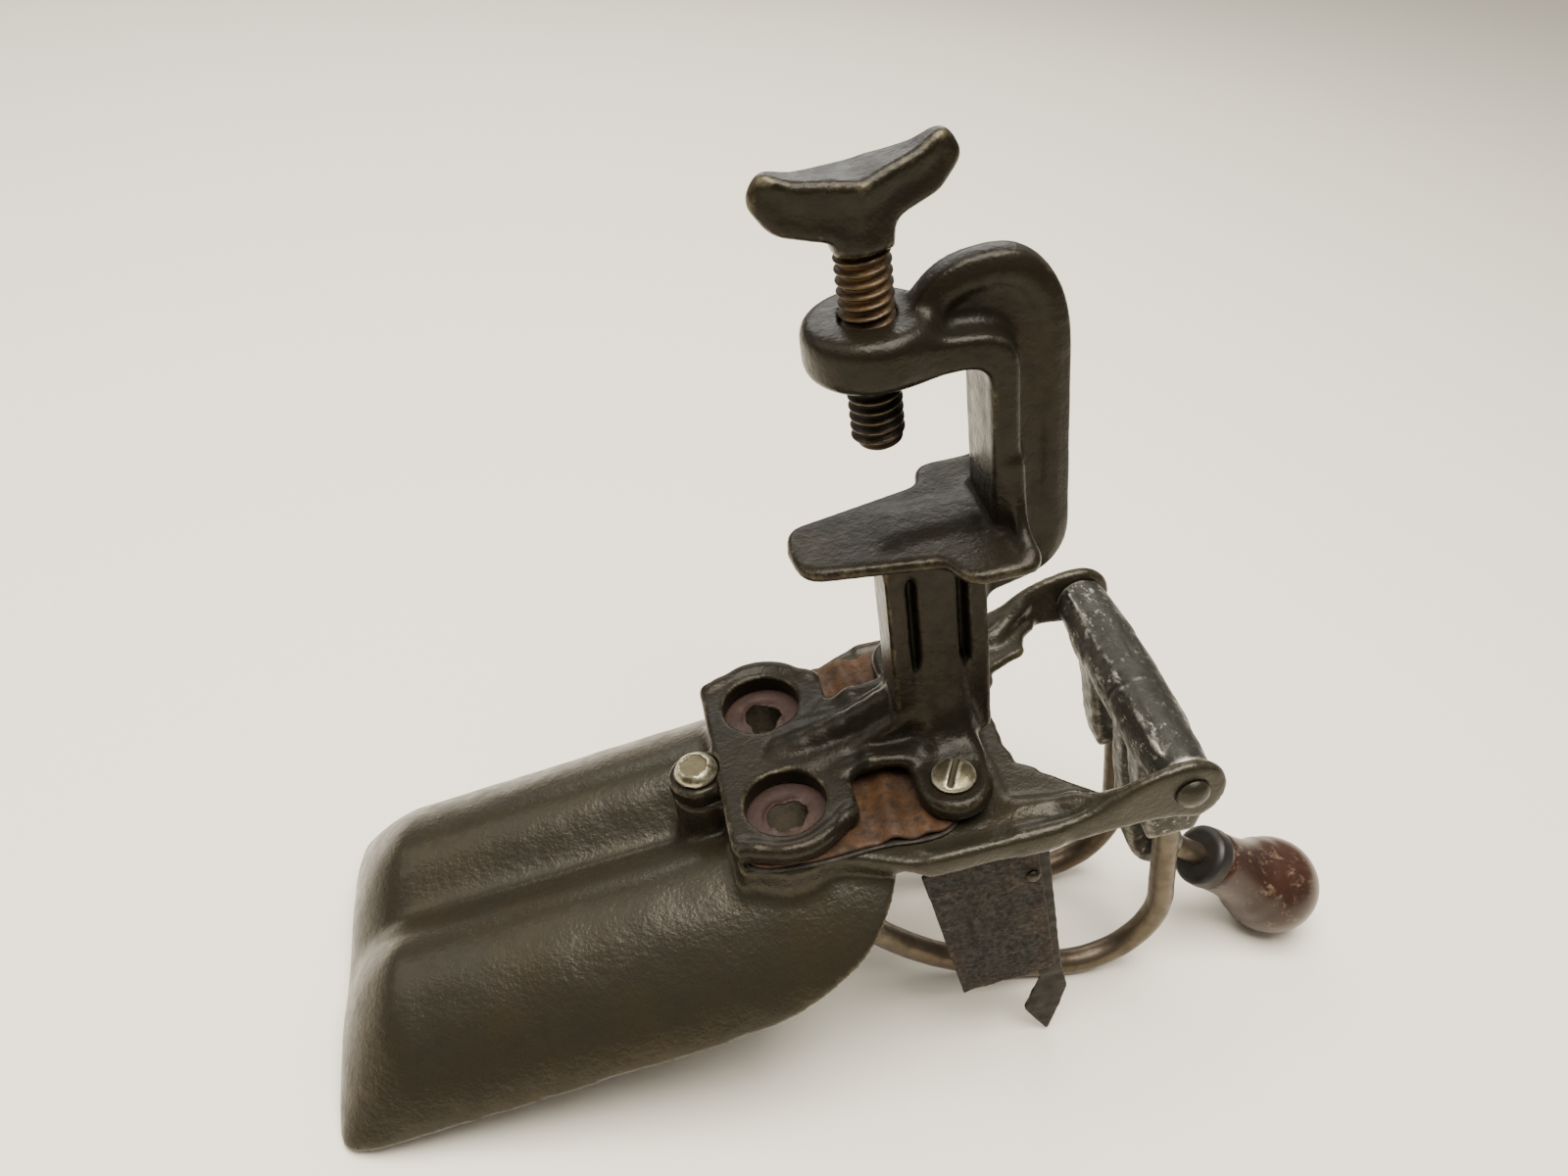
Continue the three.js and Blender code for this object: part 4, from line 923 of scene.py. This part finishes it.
def jaw(clay):
    pad = outline([(-25.5, 0, 6), (-24, 8.3, 7), (11, 15.5, 4), (13, 24, 7), (31, 24, 3), (31, -25.5, 4),
                   (13, -25.5, 7), (9.5, -17, 4), (-24, -11.3, 8)])
    clay.add(prism(pad, "z", (PAD_TOP - PAD_THICK - 0.5, PAD_TOP), 1.8), blend=3.5)
    clay.add(block((-2, 26), (-6.5, 6.5), (PAD_TOP - 12, PAD_TOP - 1), 3), blend=4)
    corner = curve((FACE_X, 108), (FACE_X, BOSS_LOW), (18, BOSS_LOW), steps=6)
    back = curve((WEB_X, 112), (WEB_X, 121.5), (20, 122), steps=6)
    flange = [(0, BOSS_LOW)] + corner[::-1] + [(FACE_X, PAD_TOP - 2), (WEB_X, PAD_TOP - 6)]
    flange += back + [(6, 123)]
    clay.add(prism(flange, "y", (-11.5, 11.5), 2.0), blend=2.5)
    flare = [(-22, PAD_TOP - 2.5)] + curve((-21.5, PAD_TOP + 0.3), (-13, PAD_TOP + 3), (-11.5, PAD_TOP + 19))
    flare += curve((11.5, PAD_TOP + 19), (13, PAD_TOP + 3), (21.5, PAD_TOP + 0.3)) + [(22, PAD_TOP - 2.5)]
    clay.add(prism(flare, "x", (27.6, WEB_X), 1.4), blend=3.5)
    x, top, low = SPINE_X, SPINE_TOP, SPINE_LOW
    outer = [(9, BOSS_TOP - 0.5)] + curve((9, BOSS_TOP), (14, top - 1), (21, top), (28, top), steps=8)[1:]
    outer += curve((28, top), (40, top), (x, top - 12), (x, top - 26), steps=12)[1:] + [(x, low + 14)]
    outer += curve((x, low + 14), (x, low + 6), (41.5, low), (34, low - 2), steps=8)[1:]
    web = outer + [(19.5, low - 6), (19.5, PAD_TOP - 2), (26, PAD_TOP - 2)]
    web += [(26, BOSS_LOW + 2), (5, BOSS_TOP - 8)]
    clay.add(prism(web, "y", (-3.6, 3.6), 1.2), blend=4)
    rim = inset_line(outer, 4.7)
    clay.add(*chain([(x, 0, z) for x, z in rim], 4.7), blend=0.6)
    inner = BOSS_R - BOSS_ROUND
    edge = arc((inner, BOSS_LOW + BOSS_ROUND), BOSS_ROUND, -90, 0, 6)
    edge += arc((inner, BOSS_TOP - BOSS_ROUND), BOSS_ROUND, 0, 90, 6)
    boss = [(BOSS_LOW, 0.0), (BOSS_LOW, inner - 0.4)] + [(z, r) for r, z in edge] + [(BOSS_TOP, 0.0)]
    clay.add(turned((0, 0, 0), (0, 0, 1), boss), blend=3.5)


def inset_line(points, by):
    """A line moved inwards, to its right-hand side, by one distance."""
    line = np.array(points, float)
    way = np.gradient(line, axis=0)
    way /= np.linalg.norm(way, axis=1)[:, None]
    return line + np.stack([way[:, 1], -way[:, 0]], axis=1) * by


# ---------------------------------------------------------------- clamp screw and wing


def clamp_screw():
    """A real helical thread with rounded crests and a chamfered tip, rusty above the boss as real rust, and
    plain and darker below it as painted shade from the boss.
    """
    sides, rings_per_pitch = 72, 12
    rings = int((SCREW_TOP - SCREW_TIP) / SCREW_PITCH * rings_per_pitch) + 1
    points, edge, rust = [], [], []
    for k in range(rings):
        z = SCREW_TIP + (SCREW_TOP - SCREW_TIP) * k / (rings - 1)
        fade = min(1, max(0, (z - SCREW_TIP - 0.6) / 2.5))
        for i in range(sides):
            turn = i / sides
            phase = (z / SCREW_PITCH - turn) % 1.0
            crest = (0.5 - 0.5 * math.cos(2 * math.pi * phase)) ** THREAD_SHARPNESS
            radius = THREAD_FLOOR + (SCREW_R - THREAD_FLOOR) * crest * fade
            radius -= TIP_CHAMFER * (1 - min(1, (z - SCREW_TIP) / 1.8)) ** 1.5
            points.append((radius * math.cos(2 * math.pi * turn), radius * math.sin(2 * math.pi * turn), z))
            # crests get a positive edge, for wear; roots get a negative one, which iron_look paints as shade
            edge.append((crest - 0.5) * 1.7 * fade)
            # rust above the boss is real rust; leaving the thread below it plain and darker is painted shade
            # from the boss
            rust.append(min(1, max(0, (z - BOSS_TOP + 2) / 4)) * (1 - 0.6 * crest))
    for z in (SCREW_TIP, SCREW_TOP):
        points.append((0, 0, z))
        edge.append(0)
        rust.append(min(1, max(0, (z - BOSS_TOP + 2) / 4)))
    piece = make_piece("clamp_screw_thread", Row.place(points), tube_faces(rings, sides), "screw",
                       "clamp_screw", LOOKS["screw"])
    add_values(piece, "edge", edge)
    add_values(piece, "rust", rust)


def thumb_wing():
    base = SCREW_TOP + 0.3
    clay = Clay((-24.5, -9, base), (24, 9, 166), 0.42)
    ears = outline([
        (-6.3, base), (6.3, base), (7, 148.6, 4), (17.5, 151.6, 7), (23.2, 158, 5), (19, 165, 3.5),
        (12.5, 161.8, 6), (0, 158.8, 5), (-12.5, 159.8, 6), (-19.5, 162.4, 3.5), (-23.6, 156.5, 5),
        (-18.5, 148.2, 7), (-7, 146, 2.5)])
    clay.add(rimmed_plate(ears, 1.7, 2.2, 2.6, 5.5, 20.0))
    clay.add(bar((0, 0, base), (0, 0, 151), 6.3, 0.3), blend=1.6)
    clay.lumps(5, 0.12, 31).lumps(2, 0.05, 32).soften(1)
    clay.cut(block((-30, 30), (-12, 12), (base - 6, base + 0.15)))
    return clay.mesh("wing_casting", "wing", "thumb_wing", LOOKS["bracket_iron"], 1.5)


# ---------------------------------------------------------------- fasteners


def domed_head(seat, radius, rises, shares, steps):
    """A head's profile: a short straight side, then a curve up to the axis."""
    side, low, high, top = (seat + rise for rise in rises)
    dome = curve((side, radius), (low, radius * shares[0]), (high, radius * shares[1]), (top, 0), steps=steps)
    return [(seat, 0), (seat, radius)] + dome


def plate_bolt():
    seat, head = BOLT_SEAT, 6.1
    clay = Clay((BOLT_X - 7, -7, -42), (BOLT_X + 7, 7, 3), 0.25)
    dome = domed_head(seat, head, (0.9, 3.2, 4.3, 4.4), (0.9, 0.5), 9)
    facet = arc((BOLT_X - 0.5, -0.3), 4.1, 10, 325, 8)
    clay.add(turned((BOLT_X, 0, 0), (0, 0, 1), dome)).lumps(2.6, 0.14, 41).soften(1)
    clay.cut(prism(facet, "z", (seat + 3.05, seat + 8)))
    clay.add(bar((BOLT_X, 0, -42), (BOLT_X, 0, seat + 1), 3.3, 0.5))
    clay.mesh("plate_bolt_domed", "frame", "plate_bolt", LOOKS["plated"], 1.4)


def foot_screws():
    seat, head = FOOT_TOP + 0.3, 6.0
    for name, side, turn in (("near", -1, 63), ("far", 1, 20)):
        at = np.array([FOOT_X, side * FOOT_Y, 0])
        clay = Clay(at + [-7, -7, -16], at + [7, 7, 4.5], 0.26)
        profile = domed_head(seat, head, (0.8, 2.2, 2.7, 2.8), (0.86, 0.4), 8)
        clay.add(turned(at, (0, 0, 1), profile)).lumps(2.4, 0.10, 51 + side)
        angle = math.radians(turn)
        way = np.array([math.cos(angle), math.sin(angle)])
        across = np.array([-way[1], way[0]])
        slot = [at[:2] + way * u + across * v for u, v in ((-9, -0.8), (9, -0.8), (9, 0.8), (-9, 0.8))]
        clay.cut(prism(slot, "z", (seat + 1.4, seat + 6))).soften(1)
        clay.add(bar(at + [0, 0, -16], at + [0, 0, seat + 0.6], 3.1, 0.6))
        clay.mesh(f"foot_screw_slotted_{name}", "frame", f"foot_screw_{name}",
                  LOOKS["plated"], 1.0)


def nut():
    """The square nut keeps its CAD shape, with the same rusty steel as the screw."""
    shown = frame["nodes"]["plate_bolt_nut"]
    shown.data.materials.clear()
    shown.data.materials.append(LOOKS["screw"])


# ---------------------------------------------------------------- leather


def sheet_outline(grow=0.0):
    left = PLATE_LEFT + 3.5 - grow
    half = curve((left, 29), (left, 34), (-46, 34.6), (-38, 35), steps=6)
    half += curve((-38, 35.4), (-26, 35.8), (-20, 34.2), (-13, 34.8), steps=7)[1:]
    half += curve((-13, 34.8), (-4, 36.4), (3, 36.6), (6, 31), steps=8)[1:] + [(8.5, 22), (10, 12)]
    half = [(x, y + grow * 0.7) for x, y in half]
    return [(x, -y) for x, y in half] + half[::-1]


def leather():
    """The leather, puckered and torn round each hole, and bellied where nothing presses on it."""
    clay = Clay((-52, -37.5, -10), (11, 37.5, -2.2), 0.42)
    x, y, z = clay.axes()
    free = np.clip((x + 20.5) / 4, 0, 1) * np.clip((0 - x) / 5, 0, 1)
    fold = np.sin(x * 0.62 + 0.06 * np.abs(y) + 0.9) * np.clip((np.abs(y) - 6) / 10, 0, 1)
    belly = free * (0.70 + 1.0 * fold + 0.4 * np.sin(y * 0.33 + x * 0.15))
    middle = LEATHER_TOP - LEATHER_THICK / 2 + belly
    for side in (-1, 1):
        r = np.sqrt((x - CUP_X) ** 2 + (y - side * CUP_Y) ** 2)
        angle = np.arctan2(y - side * CUP_Y, x - CUP_X)
        dish = np.clip((8.6 - r) / 4, 0, 1) * (1.1 + 0.35 * np.sin(angle * 5 + side))
        flap = 2.0 * np.maximum(0, np.cos(angle - FLAP_WAY[side])) ** 4
        lip = 1.3 + 0.6 * np.sin(angle * 2 + 2.4 * side) + 0.35 * np.sin(angle * 7) + flap
        lip = lip * np.clip((7.4 - r) / 2.6, 0, 1) ** 1.5
        middle = middle - dish + lip
    flat = polygon_distance(x, y, np.array(sheet_outline()))
    clay.field = np.minimum(FAR, np.maximum(np.abs(z - middle) - LEATHER_THICK / 2, flat)).astype(np.float32)
    for side in (-1, 1):
        torn = []
        rng = np.random.RandomState(60 + side)
        for i in range(30):
            angle = 2 * math.pi * i / 30
            oval = (0.25 - 0.4 * side) * math.cos(2 * (angle - 0.3))
            radius = 5.1 + oval + 0.35 * math.sin(angle * 3 + side) + rng.uniform(-0.5, 0.5)
            radius = max(4.25, radius)
            torn.append((CUP_X + radius * math.cos(angle), side * CUP_Y + radius * math.sin(angle)))
        clay.cut(prism(torn, "z", (-20, 10)))
        slit = math.radians(SLIT_DEGREES[side])
        way = np.array([math.cos(slit), math.sin(slit)])
        across = np.array([-way[1], way[0]]) * 0.35
        hole = np.array([CUP_X, side * CUP_Y])
        clay.cut(prism([hole + way * 4 - across, hole + way * 8.6, hole + way * 4 + across], "z", (-20, 10)))
    foot_holes(clay)
    clay.soften(1)
    piece = clay.mesh("leather_gasket", "frame", "leather_sheet", LOOKS["leather"], 0.6)
    centres = [Row.place([CUP_X, side * CUP_Y, LEATHER_TOP]) for side in (-1, 1)]
    gaps = [min(math.dist(v.co, c) for c in centres) / MM for v in piece.data.vertices]
    add_values(piece, "stain", [min(1, max(0, (14 - gap) / 3)) for gap in gaps])


def backing():
    clay = Clay((-52, -38, -9), (11, 38, -7), 0.3)
    clay.add(prism(sheet_outline(0.8), "z", (-8.15, -7.45), 0.15))
    cup_holes(clay, 8)
    foot_holes(clay)
    clay.mesh("backing_layer", "frame", "backing_sheet", LOOKS["backing"], 0.4)


# ---------------------------------------------------------------- swinging hub, plungers and handle


def pivot_rod():
    end = 43.1
    half = rounded_profile([
        (0, 3.15, 0), (end, 3.15, 0), (end, 4.75, 0), (end + 0.5, 4.7, 0.3), (end + 1.6, 3.9, 1.2),
        (end + 2.4, 2.0, 1.2), (end + 2.6, 0, 0)])
    profile = [(-h, r) for h, r in half[::-1]][:-1] + half[1:]
    revolve("pivot_rod_riveted", (PIVOT_X, 0, PIVOT_Z), (0, 1, 0), profile, "frame", "pivot_rod",
            LOOKS["tray_iron"], 48, 0.02, 3)


def along_handle(distance):
    slope = math.radians(HANDLE_SLOPE)
    return HANDLE_AT + distance * np.array([math.cos(slope), 0, -math.sin(slope)])


def swing_hub():
    """The sleeve on the pivot with its seams, scars and lugs, and the arm that ends in the handle's socket."""
    clay = Clay((52, -39, -92), (90, 39, 5), 0.55)
    barrel = [(-HUB_HALF, 0.0)]
    for i in range(25):
        t = -1 + 2 * i / 24
        barrel.append((t * HUB_HALF, HUB_END_R + HUB_SWELL * math.cos(t * math.pi / 2) ** 0.8))
    barrel.append((HUB_HALF, 0.0))
    clay.add(turned((PIVOT_X, 0, PIVOT_Z), (0, 1, 0), barrel))
    seam = math.radians(128)
    for turn in (seam, seam + math.pi):
        at = (PIVOT_X + SEAM_R * math.cos(turn), PIVOT_Z + SEAM_R * math.sin(turn))
        clay.add(capsule((at[0], -34, at[1]), (at[0], 34, at[1]), 0.75), blend=0.8)
    for side in (-1, 1):
        y = side * CUP_Y
        lug = [(58, -5), (59.5, -20), (61.5, -40), (63, -45.6), (77, -45.6), (79, -40), (79, -24), (73, -5)]
        clay.add(prism(lug, "y", (y - 6.3, y + 6.3), 2.6), blend=3.5)
    arm = [(59, -5), (60.5, -30)] + curve((62, -50), (63, -68), (66, -77), (74, -78.5), steps=8)
    arm += curve((74, -78.5), (81, -78), (83, -70), (79, -62), steps=7)[1:] + [(72, -46), (71, -20), (71, -5)]
    y = HANDLE_AT[1]
    clay.add(prism(arm, "y", (y - 4.9, y + 4.9), 2.0), blend=3)
    clay.add(capsule(along_handle(-2), along_handle(4), 6.2), blend=2.5)
    clay.lumps(6, 0.30, 71).lumps(2.2, 0.16, 72).soften(1)
    rng = np.random.RandomState(73)
    for _ in range(26):
        turn, start, length = math.radians(rng.uniform(50, 175)), rng.uniform(-33, 26), rng.uniform(2, 8)
        slip, radius = rng.uniform(-0.10, 0.10), rng.uniform(9.15, 9.35)
        scar = [(PIVOT_X + radius * math.cos(a), y, PIVOT_Z + radius * math.sin(a))
                for a, y in ((turn, start), (turn + slip, start + length))]
        clay.cut(capsule(*scar, rng.uniform(0.3, 0.6)), blend=0.3)
    cross = [(PIVOT_X + SCAR_R * math.cos(a), -7.5 + 1.2 * math.sin(3 * a), PIVOT_Z + SCAR_R * math.sin(a))
             for a in np.radians(np.linspace(60, 170, 10))]
    clay.cut(*chain(cross, 0.5), blend=0.5)
    clay.cut(bar((PIVOT_X, -60, PIVOT_Z), (PIVOT_X, 60, PIVOT_Z), PIVOT_HOLE - 0.15))
    for side in (-1, 1):
        x, y = rod_line()[-1][0], side * CUP_Y
        clay.cut(bar((x, y, -60), (x, y, ROD_TOP + 0.3), ROD_R + 0.25), blend=0.4)
    clay.cut(bar(along_handle(-0.3), along_handle(30), 3.9))
    return clay.mesh("hub_casting", "swing", "swing_hub", LOOKS["sleeve"], 1.8)


def on_arc(degrees, radius=ROD_ARC):
    angle = math.radians(degrees)
    return np.array([PIVOT_X - radius * math.cos(angle), 0.0, PIVOT_Z - radius * math.sin(angle)])


def rod_line():
    """A plunger's centre line: an arc about the pivot, a bend, and a straight shank."""
    points = [on_arc(a) for a in np.linspace(ROD_TIP_ANGLE, ROD_BEND_ANGLE, 34)]
    centre = on_arc(ROD_BEND_ANGLE, ROD_ARC - ROD_BEND)
    for degrees in np.linspace(ROD_BEND_ANGLE, 180, 24)[1:]:
        angle = math.radians(degrees)
        points.append(centre + ROD_BEND * np.array([-math.cos(angle), 0, -math.sin(angle)]))
    points.append(points[-1] * [1, 1, 0] + [0, 0, ROD_TOP])
    return points


def plunger_rods():
    """Bent steel rods of one thickness, each with a notch across its tip."""
    line = rod_line()
    for name, side in (("near", -1), ("far", 1)):
        shift = np.array([0, side * CUP_Y, 0])
        clay = Clay((-36, side * CUP_Y - 4.2, -113), (90, side * CUP_Y + 4.2, -30), 0.48)
        clay.add(*chain([p + shift for p in line[1:-1]], ROD_R))
        clay.add(bar(line[-2] + shift, line[-1] + shift, ROD_R, 0.6))
        clay.add(bar(line[0] + shift, line[2] + shift, ROD_R - 0.1, 0.5))
        radial = (line[0] - [PIVOT_X, 0, PIVOT_Z]) / ROD_ARC
        tip = line[0] + shift
        clay.cut(capsule(tip - radial * 6 - [0, 0, -1.5], tip + radial * 6 - [0, 0, -1.5], 1.3), blend=0.6)
        clay.lumps(5, 0.10, 81 + side).soften(1)
        clay.mesh(f"plunger_{name}", "swing", f"plunger_rod_{name}", LOOKS["rod"], 1.4)


def handle():
    way = along_handle(1) - HANDLE_AT
    stud = rounded_profile([
        (0, 0, 0), (0, 3.4, 0.4), (0.9, 3.55, 0.4), (8, 3.5, 2), (20, STUD_R, 2), (STUD_END, STUD_R, 0.5),
        (STUD_END + 0.4, 0, 0)])
    revolve("handle_stud", HANDLE_AT, way, stud, "swing", "handle_spindle", LOOKS["rod"],
            48, 0.03, 7)
    ring = rounded_profile([
        (FERRULE_AT, 0, 0), (FERRULE_AT, 4.0, 0.1), (FERRULE_AT, 8.2, 1.0), (22.3, 9.9, 0.8),
        (26.5, 10.15, 0.35), (FERRULE_END, 9.4, 0.2), (FERRULE_END, 0, 0)])
    revolve("ferrule_ring", HANDLE_AT, way, ring, "swing", "handle_ferrule",
            LOOKS["ferrule"], 72, 0.01, 8)
    knob = [(23.3, 0), (23.3, 8.6), (26.9, 8.8), (27.2, 9.6), (30, 9.75), (33, 9.8), (36, 9.9), (39, 10.2),
            (42, 10.7), (44.5, 11.4), (46.8, 12.4), (48.6, 13.4)]
    knob += arc((KNOB_CENTRE, 0), KNOB_R, 122, 4, 18) + [(KNOB_CENTRE + KNOB_R, 0)]
    revolve("wooden_knob", HANDLE_AT, way, knob, "swing", "handle_knob", LOOKS["wood"],
            80, 0.004, 9)


# ---------------------------------------------------------------- strippers


def stripper_sheet(name, node, look, points, side, y, seed, bow):
    """A thin sheet with a rivet hole, which bows outwards towards its lower end."""
    corners = np.array(points, float)
    low = (corners[:, 0].min() - 1, side * y - 2.2, corners[:, 1].min() - 1)
    high = (corners[:, 0].max() + 1, side * y + 2.2, corners[:, 1].max() + 1)
    clay = Clay(low, high, 0.32)
    x, across, z = clay.axes()
    flat = polygon_distance(x, z, corners)
    down = np.clip((corners[:, 1].max() - 20 - z) / 50, 0, 1)
    wave = side * y + side * bow * down ** 2 * np.sin((x - corners[:, 0].min()) * 0.09)
    sheet = np.maximum(flat, np.abs(across - wave) - STRIPPER_SHEET / 2)
    clay.field = np.minimum(FAR, sheet).astype(np.float32)
    x, z = STRIPPER_RIVET_AT
    clay.cut(bar((x, -60, z), (x, 60, z), 1.5))
    clay.lumps(3.0, 0.10, seed)
    clay.mesh(name, "frame", node, look, 0.4)


def ragged(points, amount, seed):
    """Roughens the lower edges of an outline."""
    rng = np.random.RandomState(seed)
    out = []
    for (ax, az), (bx, bz) in zip(points, points[1:] + points[:1]):
        out.append((ax, az))
        if max(az, bz) < -55:
            steps = max(2, int(math.hypot(bx - ax, bz - az) / 2.2))
            for i in range(1, steps):
                t = i / steps
                x = ax + (bx - ax) * t + rng.uniform(-0.2, 0.2)
                out.append((x, az + (bz - az) * t + rng.uniform(0, amount)))
    return out


def strippers():
    plate = ragged([(-4, -12.6), (16.5, -12.6), (17, -15.2), (24.2, -15.2), (29.2, -71), (1.6, -73.3),
                    (-7.5, -16.6)], 0.7, 4)
    finger = [(19, -18.5), (27.6, -18.5), (31.4, -72), (33.2, -83.4), (32.9, -86), (27.9, -103.8),
              (27.2, -105.0), (26.3, -103.8), (20.5, -92), (20.3, -90.4), (25, -76), (21, -60)]
    for name, side in (("near", -1), ("far", 1)):
        stripper_sheet(f"stripper_tin_{name}", f"stripper_plate_{name}", LOOKS["tin"],
                       plate, side, STRIPPER_Y, 90 + side, 0.5)
        stripper_sheet(f"stripper_blade_{name}", f"stripper_finger_{name}", LOOKS["finger"],
                       finger, side, FINGER_Y, 95 + side, 0.15)
        low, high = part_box(f"stripper_rivet_{name}")
        reach = (high.y - low.y) / MM / 2
        x, z = STRIPPER_RIVET_AT
        middle = (x, (high.y + low.y) / MM / 2, z)
        profile = rounded_profile([
            (-reach, 0, 0), (-reach, 1.3, 0.5), (-reach + 1, 2.15, 0.3), (-reach + 1, 1.2, 0),
            (reach - 1, 1.2, 0), (reach - 1, 2.15, 0.3), (reach, 1.3, 0.5), (reach, 0, 0)], 3)
        revolve(f"stripper_rivet_head_{name}", middle, (0, 1, 0), profile, "frame",
                f"stripper_rivet_{name}", LOOKS["screw"], 28)


# ---------------------------------------------------------------- camera, floor and light


def set_camera():
    """The photograph's viewpoint, from the near left and above, leaning a little clockwise.

    The lens, the place and both directions were worked out from the tool's parallel edges in the photograph.
    """
    data = bpy.data.cameras.new("camera")
    data.sensor_width = 36.0
    data.lens = 29.93
    camera = linked("camera", data)
    right = Vector(Row.turn([0.97465, -0.18577, -0.12468]))
    down = Vector(Row.turn([-0.21417, -0.61355, -0.76006]))
    forward = right.cross(down)
    up = -down
    turn = Matrix([[right[i], up[i], -forward[i]] for i in range(3)]).to_4x4()
    camera.matrix_world = Matrix.Translation(Row.place([-48.5, -249.5, 263.45])) @ turn
    bpy.context.scene.camera = camera


def set_stage():
    data = bpy.data.meshes.new("floor")
    reach = 3.0
    corners = [(-reach, -reach, 0), (reach, -reach, 0), (reach, reach, 0), (-reach, reach, 0)]
    data.from_pydata(corners, [], [(0, 1, 2, 3)])
    floor = linked("floor", data)
    material = bpy.data.materials.new("floor")
    material.use_nodes = True
    shader = material.node_tree.nodes["Principled BSDF"]
    shader.inputs["Base Color"].default_value = (0.90, 0.825, 0.68, 1)
    shader.inputs["Roughness"].default_value = 0.9
    data.materials.append(material)


def area_light(name, place, target, size, power, colour=(1, 1, 1)):
    data = bpy.data.lights.new(name, "AREA")
    data.shape = "RECTANGLE"
    data.size, data.size_y = size
    data.energy = power
    data.color = colour
    light = linked(name, data)
    light.location = place
    light.rotation_euler = (Vector(target) - Vector(place)).to_track_quat("-Z", "Y").to_euler()


def set_lights():
    """A soft room: bright above and behind, dim low in front, with three large soft lights."""
    world = bpy.data.worlds.new("world")
    bpy.context.scene.world = world
    world.use_nodes = True
    nodes, links = world.node_tree.nodes, world.node_tree.links
    place = nodes.new("ShaderNodeTexCoord")
    split = nodes.new("ShaderNodeSeparateXYZ")
    links.new(place.outputs["Generated"], split.inputs[0])
    lean = nodes.new("ShaderNodeMath")
    lean.operation = "MULTIPLY_ADD"
    lean.inputs[1].default_value = 0.25
    links.new(split.outputs["Y"], lean.inputs[0])
    links.new(split.outputs["Z"], lean.inputs[2])
    fade = nodes.new("ShaderNodeMapRange")
    fade.interpolation_type = "SMOOTHSTEP"
    for key, number in (("From Min", -0.35), ("From Max", 0.85), ("To Min", 0.12), ("To Max", 0.58)):
        fade.inputs[key].default_value = number
    links.new(lean.outputs[0], fade.inputs["Value"])
    links.new(fade.outputs["Result"], nodes["Background"].inputs["Strength"])
    nodes["Background"].inputs["Color"].default_value = (0.90, 0.87, 0.825, 1)
    area_light("window_left", (-0.80, 0.15, 0.75), (0, 0, 0.08), (0.7, 0.7), 3, (1, 0.99, 0.97))
    area_light("window_back", (0.0, 1.05, 0.75), (0, 0, 0.05), (1.1, 0.5), 7, (1.0, 0.99, 0.97))
    area_light("overhead", (-0.05, -0.14, 1.18), (0, 0, 0.05), (0.9, 0.9), 37, (1, 0.975, 0.93))


# ---------------------------------------------------------------- build

tray_casting()
bracket_casting()
clamp_screw()
thumb_wing()
plate_bolt()
foot_screws()
nut()
leather()
backing()
pivot_rod()
swing_hub()
plunger_rods()
handle()
strippers()
set_camera()
set_stage()
set_lights()

bpy.context.view_layer.update()
